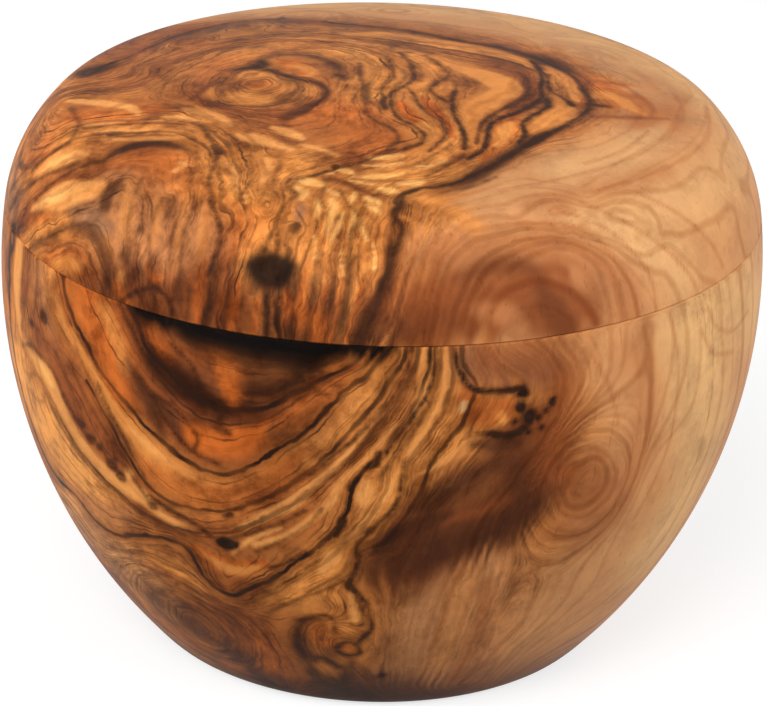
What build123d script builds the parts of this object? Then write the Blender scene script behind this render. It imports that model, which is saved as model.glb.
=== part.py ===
"""A turned olive wood sugar canister: a round-bellied bowl with a lift-off lid.

Both pieces are turned on one axis, so each is one half-section revolved about Z. The outside is
a single pebble-shaped line: a belly arc below the seam, and a side, a shoulder and a crown arc
above it, each tangent to the next. Lengths are millimetres and angles degrees. The table is z = 0,
the axis of the lathe is Z, and X and Z of the frame are the two directions of each half-section.
"""

import os
from math import asin, atan2, cos, degrees, radians, sin

from build123d import *

# Outside of the bowl
seam_radius = 60.0  # outer radius where lid and bowl meet
seam_lean = 7.0  # going down, the wall still leans outward this much at the seam
bowl_height = 71.5  # table to seam
foot_radius = 36.0  # where the belly arc reaches the table, before it is rounded
foot_rounding = 4.0

# Standing ring under the bowl
ring_width = 7.0  # flat ring that touches the table
foot_hollow_depth = 1.5  # shallow dish inside the ring, so that the bowl can't rock

# Inside of the bowl
foot_wall = 9.0  # wall where the belly reaches the foot
floor_thickness = 10.0
floor_rounding = 14.0
rim_width = 10.0  # flat land that the lid rests on
mouth_run_out = 4.0  # straight mouth left below the spigot, before the hollow starts to narrow

# Outside of the lid
lid_height = 22.0  # seam to the top of the crown
side_radius = 25.0
side_turn = 45.0  # slope from upright where the side hands over to the shoulder
shoulder_radius = 9.0

# Inside of the lid
lid_wall = 10.0
lid_cove = 13.0  # rounding between the ceiling and the side of the hollow
spigot_depth = 6.0  # ring under the lid that drops into the mouth of the bowl
spigot_wall = 5.5
spigot_clearance = 0.35  # radial gap between spigot and mouth

# Edges that a turner breaks with a touch of the tool
seam_break = 0.25
mouth_break = 0.8
spigot_break = 0.8
spigot_lip = 1.2

mouth_radius = seam_radius - rim_width
spigot_radius = mouth_radius - spigot_clearance
spigot_inner = spigot_radius - spigot_wall
spigot_bottom = bowl_height - spigot_depth
mouth_bottom = spigot_bottom - mouth_run_out
lid_top = bowl_height + lid_height
past = 5.0  # how far a cutting outline runs past the face that it opens


def on_arc(centre, radius, angle):
    """The point of an arc whose outward normal rises by this angle from level."""
    return (
        centre[0] + radius * cos(radians(angle)),
        centre[1] + radius * sin(radians(angle)),
    )


def box_face(inner, outer, low, high):
    """A rectangle of the half-section plane, from two radii and two heights."""
    return Pos((inner + outer) / 2, (low + high) / 2) * Rectangle(outer - inner, high - low)


def corner_of(face, point):
    """The corner of a half-section that lies nearest to this point."""
    return face.vertices().sort_by_distance((point[0], point[1], 0))[0]


def rounded(face, point, radius):
    """The face with its corner at this point rounded."""
    return fillet(corner_of(face, point), radius)


def bevelled(face, point, length):
    """The face with its corner at this point cut back by this length along both sides."""
    return chamfer(corner_of(face, point), length)


def turned(face):
    """The solid that a half-section sweeps on the lathe."""
    return revolve(Plane.XZ * face, axis=Axis.Z)


# The belly arc leaves the seam at its lean and passes through the foot corner
seam = (seam_radius, bowl_height)
across = foot_radius - seam_radius
lean = radians(seam_lean)
belly_radius = (across**2 + bowl_height**2) / (2 * (bowl_height * sin(lean) - across * cos(lean)))
belly_centre = on_arc(seam, -belly_radius, seam_lean)
foot_angle = degrees(atan2(-belly_centre[1], foot_radius - belly_centre[0]))

# The hollow leaves the straight mouth upright, and has the foot's wall square to the foot corner
wall_point = on_arc(belly_centre, belly_radius - foot_wall, foot_angle)
hollow_inset = mouth_radius - wall_point[0]
hollow_drop = mouth_bottom - wall_point[1]
hollow_radius = (hollow_inset**2 + hollow_drop**2) / (2 * hollow_inset)
hollow_centre = (mouth_radius - hollow_radius, mouth_bottom)
floor_angle = degrees(asin((floor_thickness - mouth_bottom) / hollow_radius))
floor_corner = on_arc(hollow_centre, hollow_radius, floor_angle)

# The side arc carries the same lean up from the seam, and the shoulder follows it
side_centre = on_arc(seam, -side_radius, seam_lean)
shoulder_centre = on_arc(side_centre, side_radius - shoulder_radius, side_turn)

# The crown is the arc centred on the axis that touches the shoulder and the top of the lid
shoulder_to_top = lid_top - shoulder_radius
crown_centre_z = (shoulder_to_top**2 - shoulder_centre[0] ** 2 - shoulder_centre[1] ** 2) / (
    2 * (shoulder_to_top - shoulder_centre[1])
)
crown_centre = (0, crown_centre_z)
crown_radius = lid_top - crown_centre_z
crown_angle = degrees(atan2(shoulder_centre[1] - crown_centre_z, shoulder_centre[0]))


def bowl_outline():
    """Half-section of the bowl as a solid block, with its foot and rim edges rounded."""
    belly = CenterArc(belly_centre, belly_radius, foot_angle, seam_lean - foot_angle)
    closing = Polyline(seam, (0, bowl_height), (0, 0), (foot_radius, 0))
    face = make_face(belly + closing)
    face = rounded(face, (foot_radius, 0), foot_rounding)
    return bevelled(face, seam, seam_break)


def bowl_hollow():
    """Space for the sugar, from the floor up through the straight mouth."""
    wall = CenterArc(hollow_centre, hollow_radius, floor_angle, -floor_angle)
    closing = Polyline(
        (mouth_radius, mouth_bottom),
        (mouth_radius, bowl_height + past),
        (0, bowl_height + past),
        (0, floor_thickness),
        floor_corner,
    )
    return rounded(make_face(wall + closing), floor_corner, floor_rounding)


def mouth_flare():
    """Bevel at the top of the mouth that leads the spigot in."""
    return make_face(
        Polyline(
            (mouth_radius - past, bowl_height + past),
            (mouth_radius - past, bowl_height - mouth_break),
            (mouth_radius, bowl_height - mouth_break),
            (mouth_radius + mouth_break, bowl_height),
            (mouth_radius + mouth_break, bowl_height + past),
            close=True,
        )
    )


def foot_hollow():
    """Shallow dish under the foot that leaves the standing ring."""
    flat_radius = foot_flat_radius()
    rim = flat_radius - ring_width
    dome = ThreePointArc((-rim, 0), (0, foot_hollow_depth), (rim, 0))
    return make_face(dome + Line((rim, 0), (-rim, 0))) & box_face(0, rim, 0, foot_hollow_depth)


def foot_flat_radius():
    """Radius at which the flat of the foot meets its rounded edge."""
    centre_height = foot_rounding
    reach = belly_radius - foot_rounding
    drop = centre_height - belly_centre[1]
    return belly_centre[0] + (reach**2 - drop**2) ** 0.5


def make_bowl():
    section = bowl_outline() - bowl_hollow() - mouth_flare() - foot_hollow()
    return turned(section)


def lid_outline():
    """Half-section of the lid above the seam as a solid block."""
    side = CenterArc(side_centre, side_radius, seam_lean, side_turn - seam_lean)
    shoulder = CenterArc(shoulder_centre, shoulder_radius, side_turn, crown_angle - side_turn)
    crown = CenterArc(crown_centre, crown_radius, crown_angle, 90 - crown_angle)
    closing = Polyline((0, lid_top), (0, bowl_height), seam)
    face = make_face(side + shoulder + crown + closing)
    return bevelled(face, seam, seam_break)


def spigot():
    """Ring under the lid, with its lower outer edge broken to find the mouth."""
    ring = box_face(0, spigot_radius, spigot_bottom, bowl_height)
    return bevelled(ring, (spigot_radius, spigot_bottom), spigot_break)


def lid_hollow():
    """Hollow under the lid: its ceiling runs parallel to the crown, and a cove joins the side."""
    ceiling = Pos(*crown_centre) * Circle(crown_radius - lid_wall)
    bore = box_face(0, spigot_inner, spigot_bottom - past, lid_top)
    space = ceiling & bore
    outermost = space.vertices().group_by(Axis.X)[-1]
    ceiling_corner = outermost.sort_by(Axis.Y)[-1]
    return fillet(ceiling_corner, lid_cove)


def make_lid():
    section = lid_outline() + spigot() - lid_hollow()
    return turned(bevelled(section, (spigot_inner, spigot_bottom), spigot_lip))


def save(solid, name):
    """Writes one piece and prints its size and volume."""
    size = solid.bounding_box().size
    print(f"{name}: {size.X:.2f} x {size.Y:.2f} x {size.Z:.2f} mm, {solid.volume / 1000:.1f} ml of wood")
    export_step(solid, f"parts/{name}.step")


os.makedirs("parts", exist_ok=True)
print(f"belly radius {belly_radius:.2f}, crown radius {crown_radius:.2f}, top at {lid_top:.1f} mm")
save(make_bowl(), "bowl")
save(make_lid(), "lid")
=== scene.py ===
# %% [markdown]
# # A lidded sugar bowl in olive wood
# The canister is two turned pieces: a round-bellied bowl on a small foot, and a low domed lid that carries
# on its line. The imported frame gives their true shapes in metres. This lesson dresses them: it lays a finer
# skin on each section, works out where the growth rings run, paints the wood's tones, and builds an oiled
# finish from nodes.

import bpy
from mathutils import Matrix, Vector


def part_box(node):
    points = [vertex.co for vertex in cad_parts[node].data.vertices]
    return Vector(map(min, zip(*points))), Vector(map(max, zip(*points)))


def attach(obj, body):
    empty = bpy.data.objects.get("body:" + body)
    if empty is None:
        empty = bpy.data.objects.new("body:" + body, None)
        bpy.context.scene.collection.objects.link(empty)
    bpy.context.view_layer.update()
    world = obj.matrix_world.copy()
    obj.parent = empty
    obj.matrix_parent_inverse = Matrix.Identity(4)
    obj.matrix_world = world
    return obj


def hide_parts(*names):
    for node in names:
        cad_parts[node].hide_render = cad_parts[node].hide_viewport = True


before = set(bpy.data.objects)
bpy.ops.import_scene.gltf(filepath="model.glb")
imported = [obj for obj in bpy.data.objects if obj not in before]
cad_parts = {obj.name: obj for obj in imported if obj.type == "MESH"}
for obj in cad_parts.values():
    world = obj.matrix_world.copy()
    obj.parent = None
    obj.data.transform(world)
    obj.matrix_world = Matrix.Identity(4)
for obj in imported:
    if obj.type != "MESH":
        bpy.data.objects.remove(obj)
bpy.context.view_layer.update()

# %% Tools and units
from math import cos, radians, sin

import bpy
import numpy as np
from mathutils import Matrix, Vector
from mathutils.kdtree import KDTree

MM = 0.001
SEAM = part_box("bowl")[1][2] / MM
print("the seam is", round(SEAM, 2), "mm above the table")

# %% [markdown]
# ## The camera
# The canister is seen from a little above and from far enough away that its outline hardly narrows. A long
# lens does that. The camera leans a degree and a half, so the seam climbs slightly to the right.

# %% Camera
TILT_DOWN = radians(23.25)
LEAN = radians(1.6)
DISTANCE = 600 * MM
LENS_MM = 173.9
SENSOR_MM = 36.0
NEAREST_SEEN = 50 * MM
AIM_RIGHT = 0.66
AIM_BELOW_SEAM = 26.64
AIM = Vector((AIM_RIGHT, 0.0, SEAM - AIM_BELOW_SEAM)) * MM

look = Vector((0.0, cos(TILT_DOWN), -sin(TILT_DOWN)))
level_right = Vector((1.0, 0.0, 0.0))
level_up = Vector((0.0, sin(TILT_DOWN), cos(TILT_DOWN)))
camera_right = cos(LEAN) * level_right + sin(LEAN) * level_up
camera_up = cos(LEAN) * level_up - sin(LEAN) * level_right

lens = bpy.data.cameras.new("studio_camera")
lens.sensor_width = SENSOR_MM
lens.lens = LENS_MM
lens.clip_start = NEAREST_SEEN
camera = bpy.data.objects.new("studio_camera", lens)
turn = Matrix((camera_right, camera_up, -look)).transposed()
camera.matrix_world = Matrix.Translation(AIM - DISTANCE * look) @ turn.to_4x4()
bpy.context.collection.objects.link(camera)
bpy.context.scene.camera = camera
bpy.context.scene.view_settings.view_transform = "Standard"
print("camera at", [round(c, 4) for c in camera.matrix_world.translation])

# %% [markdown]
# ## Helpers for nodes
# Every material below is a tree of nodes. One helper makes a node and fills its inputs, with a number, a
# colour or a link. The others do the same for sums, which are the most common nodes of all, and for the
# start and the end of a tree.

# %% Node helpers
def add_node(tree, kind, inputs=None, **settings):
    made = tree.nodes.new(kind)
    for name, value in settings.items():
        setattr(made, name, value)
    for name, value in (inputs or {}).items():
        if isinstance(value, bpy.types.NodeSocket):
            tree.links.new(value, made.inputs[name])
        else:
            made.inputs[name].default_value = value
    return made


def work_out(tree, operation, *values, clamp=False):
    made = add_node(tree, "ShaderNodeMath", dict(enumerate(values)), operation=operation, use_clamp=clamp)
    return made.outputs[0]


def times(tree, first, second, clamp=False):
    return work_out(tree, "MULTIPLY", first, second, clamp=clamp)


def times_plus(tree, value, by, plus, clamp=False):
    return work_out(tree, "MULTIPLY_ADD", value, by, plus, clamp=clamp)


def empty_tree(owner):
    """The node tree of a material or a sky, switched on and emptied."""
    owner.use_nodes = True
    owner.node_tree.nodes.clear()
    return owner.node_tree


def tint(red, green, blue):
    """A colour as paint charts give it, 0 to 255, in the linear values that a shader wants."""
    shares = [part / 255 for part in (red, green, blue)]
    return tuple(s / 12.92 if s < 0.04045 else ((s + 0.055) / 1.055) ** 2.4 for s in shares)


print("node helpers ready")

# %% [markdown]
# ## The studio
# A plain sweep of white floor fills the background, under a white sky. Seen directly they are nearly as
# bright as white paper, and the floor keeps a faint shadow. For the light that it throws back up at the wood
# the floor is a middle grey, so the underside of the belly falls away into shade as it does on a real table.
# There are three large soft lamps: the key stands high in front, a little to the left, and one stands on
# each side.

# %% Floor, sky and lamps
FLOOR_SIZE = 4.0
FLOOR_DROP = 0.05 * MM
FLOOR_GREY = 0.22
PAPER_GREY = 0.42
PAPER_GLOW = 0.68
SKY_STRENGTH = 0.38
WHITE = (1.0, 1.0, 1.0, 1.0)
LAMP_SIZE = 0.50
LAMPS = {
    "key_lamp": ((-0.25, -0.72, 0.66), 5.4),
    "right_lamp": ((0.75, -0.35, 0.35), 4.4),
    "left_lamp": ((-0.75, -0.25, 0.40), 3.2),
}


def make_floor():
    mesh = bpy.data.meshes.new("studio_floor")
    half = FLOOR_SIZE / 2
    corners = [(-half, -half, 0), (half, -half, 0), (half, half, 0), (-half, half, 0)]
    mesh.from_pydata(corners, [], [(0, 1, 2, 3)])
    floor = bpy.data.objects.new("studio_floor", mesh)
    floor.location.z = -FLOOR_DROP
    bpy.context.collection.objects.link(floor)
    return floor


def white_where_seen(tree):
    """1 for rays from the camera, from a mirror-like surface or through glass, 0 for light that bounces."""
    path = add_node(tree, "ShaderNodeLightPath")
    direct = work_out(tree, "MAXIMUM", path.outputs["Is Camera Ray"], path.outputs["Is Glossy Ray"])
    return work_out(tree, "MAXIMUM", direct, path.outputs["Is Transmission Ray"])


def floor_material():
    material = bpy.data.materials.new("studio_paper")
    tree = empty_tree(material)
    bounce = add_node(tree, "ShaderNodeBsdfDiffuse", {"Color": (FLOOR_GREY,) * 3 + (1.0,)})
    paper = add_node(tree, "ShaderNodeBsdfDiffuse", {"Color": (PAPER_GREY,) * 3 + (1.0,)})
    glow = add_node(tree, "ShaderNodeEmission", {"Color": WHITE, "Strength": PAPER_GLOW})
    seen = add_node(tree, "ShaderNodeAddShader", {0: paper.outputs[0], 1: glow.outputs[0]})
    choice = {"Fac": white_where_seen(tree), 1: bounce.outputs[0], 2: seen.outputs[0]}
    mix = add_node(tree, "ShaderNodeMixShader", choice)
    add_node(tree, "ShaderNodeOutputMaterial", {"Surface": mix.outputs[0]})
    return material


def make_sky():
    world = bpy.data.worlds.new("studio_sky")
    tree = empty_tree(world)
    level = times_plus(tree, white_where_seen(tree), 1.0 - SKY_STRENGTH, SKY_STRENGTH)
    sky = add_node(tree, "ShaderNodeBackground", {"Color": WHITE, "Strength": level})
    add_node(tree, "ShaderNodeOutputWorld", {"Surface": sky.outputs[0]})
    bpy.context.scene.world = world


def make_lamp(name, place, watts):
    data = bpy.data.lights.new(name, "AREA")
    data.energy = watts
    data.size = LAMP_SIZE
    lamp = bpy.data.objects.new(name, data)
    lamp.location = place
    lamp.rotation_euler = (Vector(place) - AIM).to_track_quat("Z", "Y").to_euler()
    bpy.context.collection.objects.link(lamp)


floor = make_floor()
floor.data.materials.append(floor_material())
make_sky()
for name, (place, watts) in LAMPS.items():
    make_lamp(name, place, watts)
print("studio lamps:", list(LAMPS))

# %% [markdown]
# ## The turned sections
# A turned piece is one half-section spun about its axis. The solids already hold that section, drawn in
# short straight facets, so it is read from them: the points that lie in the x-z plane, walked from neighbour
# to neighbour. Reading it keeps the skin on the true shape. Drawing it a second time would let the two drift
# apart.

# %% Read a half-section
ON_PLANE = 1e-6


def half_section(node):
    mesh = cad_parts[node].data
    spot = {}
    for vertex in mesh.vertices:
        if abs(vertex.co.y) < ON_PLANE and vertex.co.x > -ON_PLANE:
            spot[vertex.index] = (round(max(vertex.co.x, 0.0) / MM, 4), round(vertex.co.z / MM, 4))
    beside = {}
    for edge in mesh.edges:
        a, b = edge.vertices
        if a in spot and b in spot and spot[a] != spot[b]:
            beside.setdefault(spot[a], set()).add(spot[b])
            beside.setdefault(spot[b], set()).add(spot[a])
    left = set(spot.values())
    here = min(left)
    path = [here]
    left.discard(here)
    while left:
        near = [p for p in beside.get(here, ()) if p in left] or list(left)
        here = min(near, key=lambda p: (p[0] - here[0]) ** 2 + (p[1] - here[1]) ** 2)
        path.append(here)
        left.discard(here)
    if path[-1][0] > 0:
        path.append((0.0, path[-1][1]))
    return np.array(path)


sections = {node: half_section(node) for node in ("bowl", "lid")}
for node, path in sections.items():
    print(node, "section:", len(path), "points,", round(float(path[:, 0].max()), 2), "mm in radius")

# %% [markdown]
# The section's facets are up to 5 mm long. Between its true corners it is curved again, with a cubic curve
# through each facet, and cut into short steps: fine on the outside, where the figure shows, and coarser
# inside. The long runs that a flat tool leaves, such as the rim and the floor, stay straight.

# %% Curve and divide the section
CORNER = radians(25)
LONGEST_FACET = 6.5
OUTSIDE_STEP = 0.55
INSIDE_STEP = 2.4
ON_SEAM = 0.01
FOOT_HEIGHT = 1.0
FOOT_FACETS = 4


def directions(path):
    """The heading at both ends of each facet: turned smoothly at soft joints, kept at corners."""
    step = np.diff(path, axis=0)
    length = np.hypot(step[:, 0], step[:, 1])
    heading = step / length[:, None]
    start = heading.copy()
    end = heading.copy()
    for i in range(1, len(path) - 1):
        before, after = heading[i - 1], heading[i]
        if before @ after < cos(CORNER):
            continue
        if length[i - 1] > LONGEST_FACET:
            shared = before
        elif length[i] > LONGEST_FACET:
            shared = after
        else:
            shared = before * length[i] + after * length[i - 1]
            shared = shared / np.hypot(*shared)
        end[i - 1] = shared
        start[i] = shared
    return length, start, end


def divide(path, outside):
    """Short steps along the curved section. outside(i) says whether facet i is on the outside."""
    length, start, end = directions(path)
    points = [path[0]]
    for i in range(len(path) - 1):
        step = OUTSIDE_STEP if outside(i) else INSIDE_STEP
        count = max(1, int(np.ceil(length[i] / step)))
        t = (np.arange(count) + 1)[:, None] / count
        bend_in = (t - 2 * t**2 + t**3) * length[i]
        bend_out = (t**3 - t**2) * length[i]
        along = 3 * t**2 - 2 * t**3
        curve = path[i] * (1 - along) + path[i + 1] * along + start[i] * bend_in + end[i] * bend_out
        points.extend(curve)
    return np.array(points)


def seam_corner(path):
    on_seam = [i for i in range(len(path)) if abs(path[i][1] - SEAM) < ON_SEAM]
    return max(on_seam, key=lambda i: path[i][0])


corners = {node: seam_corner(path) for node, path in sections.items()}
foot_edge = int(np.argmax(sections["bowl"][:, 1] > FOOT_HEIGHT))
rows = {
    "bowl": divide(sections["bowl"], lambda i: foot_edge - FOOT_FACETS <= i < corners["bowl"]),
    "lid": divide(sections["lid"], lambda i: i >= corners["lid"]),
}
outlines = {
    "bowl": rows["bowl"][: seam_corner(rows["bowl"]) + 1][::-1],
    "lid": rows["lid"][seam_corner(rows["lid"]) :],
}
for node in rows:
    print(node, "rows:", len(rows[node]), "of which outside:", len(outlines[node]))

# %% [markdown]
# ## Spinning the skin
# Spinning the section gives a grid of quads, which keeps its shading clean. The half that faces the camera
# gets narrow columns, since the finest figure is traced there, and the back gets wider ones. A screw
# modifier would space them evenly, so the grid is written out here.

# %% Spin a section
FRONT_HALF_ANGLE = 97.0
FRONT_COLUMNS = 380
BACK_COLUMNS = 76


def column_angles():
    front = np.linspace(-FRONT_HALF_ANGLE, FRONT_HALF_ANGLE, FRONT_COLUMNS, endpoint=False)
    back = np.linspace(FRONT_HALF_ANGLE, 360.0 - FRONT_HALF_ANGLE, BACK_COLUMNS, endpoint=False)
    return np.radians(np.concatenate([front, back]))


def spin(name, path):
    """Turn the section about the axis. Angle 0 faces the camera and angles grow to the right."""
    ring_rows = path[1:-1]
    angles = column_angles()
    many = len(angles)
    x = ring_rows[:, :1] * np.sin(angles)
    y = -ring_rows[:, :1] * np.cos(angles)
    z = np.repeat(ring_rows[:, 1:], many, axis=1)
    grid = np.stack([x, y, z], axis=-1).reshape(-1, 3)
    places = np.concatenate([grid, [(0, 0, path[0][1]), (0, 0, path[-1][1])]]) * MM
    row, column = np.meshgrid(np.arange(len(ring_rows) - 1), np.arange(many), indexing="ij")
    beside = (column + 1) % many
    next_row = row + 1
    quads = [row * many + column, row * many + beside, next_row * many + beside, next_row * many + column]
    quads = np.stack(quads, axis=-1).reshape(-1, 4)
    first, last = len(grid), len(grid) + 1
    top = (len(ring_rows) - 1) * many
    around = np.arange(many)
    after = (around + 1) % many
    start_fan = np.stack([np.full(many, first), after, around], axis=-1)
    end_fan = np.stack([np.full(many, last), top + around, top + after], axis=-1)
    mesh = bpy.data.meshes.new(name)
    mesh.from_pydata(places.tolist(), [], quads.tolist() + start_fan.tolist() + end_fan.tolist())
    mesh.polygons.foreach_set("use_smooth", np.ones(len(mesh.polygons), dtype=bool))
    mesh.set_sharp_from_angle(angle=CORNER)
    piece = bpy.data.objects.new(name, mesh)
    bpy.context.collection.objects.link(piece)
    return piece


pieces = {node: spin("turned_" + node, rows[node]) for node in rows}
for node, piece in pieces.items():
    print(piece.name, len(piece.data.polygons), "faces")

# %% [markdown]
# ## Finding a place on the wood
# The figure is described where a turner would point at it. On the lid's top that is x and y in millimetres
# from the middle, with y away from the camera. On the lid's side it is degrees round from the front and
# millimetres above the seam. On the belly it is degrees round and millimetres down the curve from the seam.
# Each line is a cubic curve that passes through all of its points. A third number at a point is the line's
# half-width there, so that a stroke can swell and taper.

# %% Places and lines
LINE_STEP = 0.5


def flowing(points, closed=False):
    points = np.array(points, dtype=float)
    if len(points) < 3:
        share = np.linspace(0, 1, 4)[:, None]
        return points if len(points) == 1 else points[0] + (points[1] - points[0]) * share
    if closed:
        points = np.concatenate([points[-1:], points, points[:2]])
    else:
        points = np.concatenate([2 * points[:1] - points[1:2], points, 2 * points[-1:] - points[-2:-1]])
    line = []
    for a, b, c, d in zip(points, points[1:], points[2:], points[3:]):
        count = max(1, int(np.ceil(np.linalg.norm(c - b) / LINE_STEP)))
        t = np.arange(count)[:, None] / count
        line.append(b + 0.5 * t * (c - a + t * (2 * a - 5 * b + 4 * c - d + t * (3 * (b - c) + d - a))))
    if not closed:
        line.append(points[-2:-1])
    return np.concatenate(line)


def round_the_axis(degrees, radius, height):
    angle = np.radians(degrees)
    return np.stack([radius * np.sin(angle), -radius * np.cos(angle), height], axis=-1)


def on_top(points, closed=False):
    path = flowing(points, closed)
    x, y = path[:, :2].T
    inward = outlines["lid"][::-1]
    widest = int(np.argmax(inward[:, 0]))
    height = np.interp(np.hypot(x, y), inward[: widest + 1, 0], inward[: widest + 1, 1])
    return np.column_stack([x, y, height, path[:, 2:]])


def on_side(points, closed=False):
    path = flowing(points, closed)
    degrees, above = path[:, :2].T
    radius = np.interp(SEAM + above, outlines["lid"][:, 1], outlines["lid"][:, 0])
    return np.column_stack([round_the_axis(degrees, radius, SEAM + above), path[:, 2:]])


def on_belly(points, closed=False):
    path = flowing(points, closed)
    degrees, down = path[:, :2].T
    outline = outlines["bowl"]
    walked = np.concatenate([[0], np.cumsum(np.hypot(*np.diff(outline, axis=0).T))])
    radius = np.interp(down, walked, outline[:, 0])
    height = np.interp(down, walked, outline[:, 1])
    return np.column_stack([round_the_axis(degrees, radius, height), path[:, 2:]])


belly = np.hypot(*np.diff(outlines["bowl"], axis=0).T).sum()
print("the belly is", round(float(belly), 1), "mm down its curve")

# %% [markdown]
# ## The growth rings
# Olive grows in tight, wandering rings. Each line below follows one ring over the surface and gives its
# number, counted from the eye on the lid, and how dark the ring's edge is there. A smooth field is then
# fitted through all of them, so that every point of the wood, outside and in, knows which ring it lies in
# and how far apart the rings are.

# %% Trace the lid's rings
EYE = (-20, -6)
rings = {"lid": [], "bowl": []}


def trace(piece, where, lines, closed=False):
    """Record ring lines. Each is the ring's number, how dark its edge is, and the points it runs through."""
    for number, darkness, *points in lines:
        rings[piece].append((float(number), float(darkness), where(points, closed)))


def about(centre, wide, high, count=10):
    """Points on an oval round a centre."""
    angles = np.linspace(0, 2 * np.pi, count, endpoint=False)
    return [(centre[0] + wide * cos(a), centre[1] + high * sin(a)) for a in angles]


trace("lid", on_top, [
    (1, 0.1, *about(EYE, 3, 4)),
    (2, 0.2, *about((-20, -9), 6.5, 6)),
], closed=True)
trace("lid", on_top, [
    (0, 0, EYE),
    (3.4, 0.5, (-20, 4), (-17, 7), (-13, 6.5), (-9, 3), (-7.5, -1), (-9, -5)),
    (3, 0.3, (-22, 2.5), (-18, -1), (-15, -4), (-12, -6), (-10, -9), (-9.5, -13), (-11, -16), (-14, -19)),
    (3, 0.2, (-22, 2.5), (-26, -1), (-28, -6), (-27, -13), (-22, -18)),
    (4.5, 0.2, (-30, 4), (-24, 9.5), (-15, 10), (-7, 6), (-4, -1), (-5, -9), (-6, -15), (-5, -22)),
    (6, 0.35, (-34, 6), (-26, 13), (-16, 14.5), (-8, 12), (-2, 8), (1, 2), (3, -3), (1.5, -8), (0.5, -13),
     (1.5, -18), (4, -22), (7, -25), (6, -29), (2, -31), (-3, -35), (-7.5, -37.5)),
    (6, 0.3, (-7.5, -37.5), (-10, -39.5), (-13.5, -41), (-14, -43), (-13, -45.5), (-15, -50), (-14, -57)),
    (7, 0, (0, 8), (4, 3), (7, -2), (7.5, -6), (6, -10), (6, -15), (8, -20)),
    (8, 0, (4, 8), (8, 3), (10, -2), (11, -9), (10, -15), (11, -20), (11.5, -25), (10.5, -29), (7, -33)),
    (9, 0, (14, 6), (19, 5), (22, 2), (22, -3), (21.5, -8), (18.5, -13), (16, -17), (15.2, -22),
     (15, -26), (14, -30), (11, -34), (6, -38)),
    (10, 0.6, (-42, 3), (-38, 10), (-33, 15), (-26, 18), (-18, 19.5), (-10, 18.5), (-2, 16), (6, 12.5),
     (14, 10), (19, 8), (23, 4)),
    (10, 0, (23, 4), (24.6, -1), (24.2, -8), (22.8, -11.5), (20.8, -15), (18, -20), (17.6, -26),
     (16, -31)),
    (11, 0, (26.5, 4), (28, -1), (28, -6), (27, -11), (24, -17), (21.2, -23), (18.6, -28.5)),
    (12, 0.8, (-48, 6), (-46, 9), (-40, 16), (-35, 23), (-30, 28), (-25, 31), (-20, 31.5), (-15, 30),
     (-10, 27.5), (-5, 25), (0, 23), (5, 20.5), (10, 18), (15, 15.8), (20, 14), (24, 10.5), (27, 7),
     (29.5, 3), (31, -2), (32, -7), (31, -11), (29, -15), (26.5, -19.5), (23, -24), (20, -28), (17, -33),
     (14, -37), (10, -41), (6, -42.6), (3, -44.4), (1.8, -47.6), (1.6, -50), (2.6, -52.4), (1, -56),
     (-1, -59)),
    (13.2, 0, (-32, 38), (-15, 40), (5, 34), (22, 27), (36, 16), (42, 2), (41, -12), (34, -25),
     (24, -36)),
    (14.2, 0, (-20, 50), (5, 47), (28, 39), (44, 24), (51, 6), (50, -12), (42, -28), (30, -41)),
    (15.0, 0, (50, 28), (56, 12), (57, -6), (52, -24), (42, -38), (28, -46), (16, -48)),
    (5, 0.25, (-50, -3), (-42, -7), (-36, -11), (-30, -15), (-25, -21), (-20, -28), (-18, -36),
     (-18, -46)),
    (7, 0.5, (-57, -8), (-55.5, -14), (-52, -18), (-46, -20.5), (-38, -22), (-31, -24), (-26.5, -30),
     (-24.5, -37), (-23.5, -46)),
    (8.2, 0.2, (-46, -27.5), (-41, -29), (-36, -27), (-31, -28), (-29, -34), (-29, -42)),
    (9.2, 0.2, (-42, -33), (-38, -34), (-35, -38), (-33, -46)),
])
trace("lid", on_side, [
    (12, 0.7, (1.4, 14), (0.6, 10), (-1.5, 5), (-3.5, 0)),
    (15.6, 0.1, (53, 0), (51, 4), (47, 9), (42, 13), (34, 15.5), (22, 15), (12, 14), (8, 9), (6, 0)),
    (17, 0.1, (39, 0), (38.6, 5), (36, 9.5), (31, 12.6), (23, 13.4), (15, 11.4), (11, 6), (9, 0)),
    (18.4, 0, (32, 0), (31, 4.5), (27, 8), (21, 8.6), (16, 6), (14, 0)),
    (19.2, 0, (26, 0), (24, 3), (21, 3), (19, 0)),
    (14.6, 0, (75, 1), (72, 8), (66, 14)),
    (5, 0.5, (-18, 16), (-18.5, 10), (-18, 5), (-19, 0)),
    (6, 0.8, (-13.5, 15), (-14.5, 9), (-15, 4), (-14, 0)),
    (8, 0.4, (-9, 15), (-9.5, 8), (-10, 0)),
    (10, 0.5, (-5, 15), (-5, 8), (-6.5, 0)),
    (7, 0.5, (-24, 15), (-25, 8), (-25, 0)),
    (8.2, 0.2, (-76, 1), (-72, 6), (-67, 11), (-62, 14.5)),
    (8.2, 0.2, (-33, 13), (-33, 6), (-31, 0)),
    (9.2, 0.3, (-71, 0), (-66, 5), (-60, 10), (-54, 14), (-50, 16)),
    (9.2, 0.3, (-37, 14), (-37, 8), (-35, 3), (-34, 0)),
    (10.2, 0.2, (-66, 0), (-61, 4), (-55, 8.5), (-50, 11.5), (-46, 14), (-44, 12), (-41, 7), (-38, 0)),
    (11.2, 0.2, (-62, 0), (-58, 3), (-53, 6), (-49, 6.5), (-46, 5), (-43, 2.5), (-42, 0)),
    (12.5, 0, (-55, 0), (-52, 2), (-49, 0)),
])
print("rings traced on the lid:", len(rings["lid"]))

# %% [markdown]
# On the bowl the rings hang from the seam in nested bows, under a patch so dark that it is nearly black.
# They run together into a steep dark bundle in the middle. To the right the wood is young and plain, with
# one soft swirl.

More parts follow.
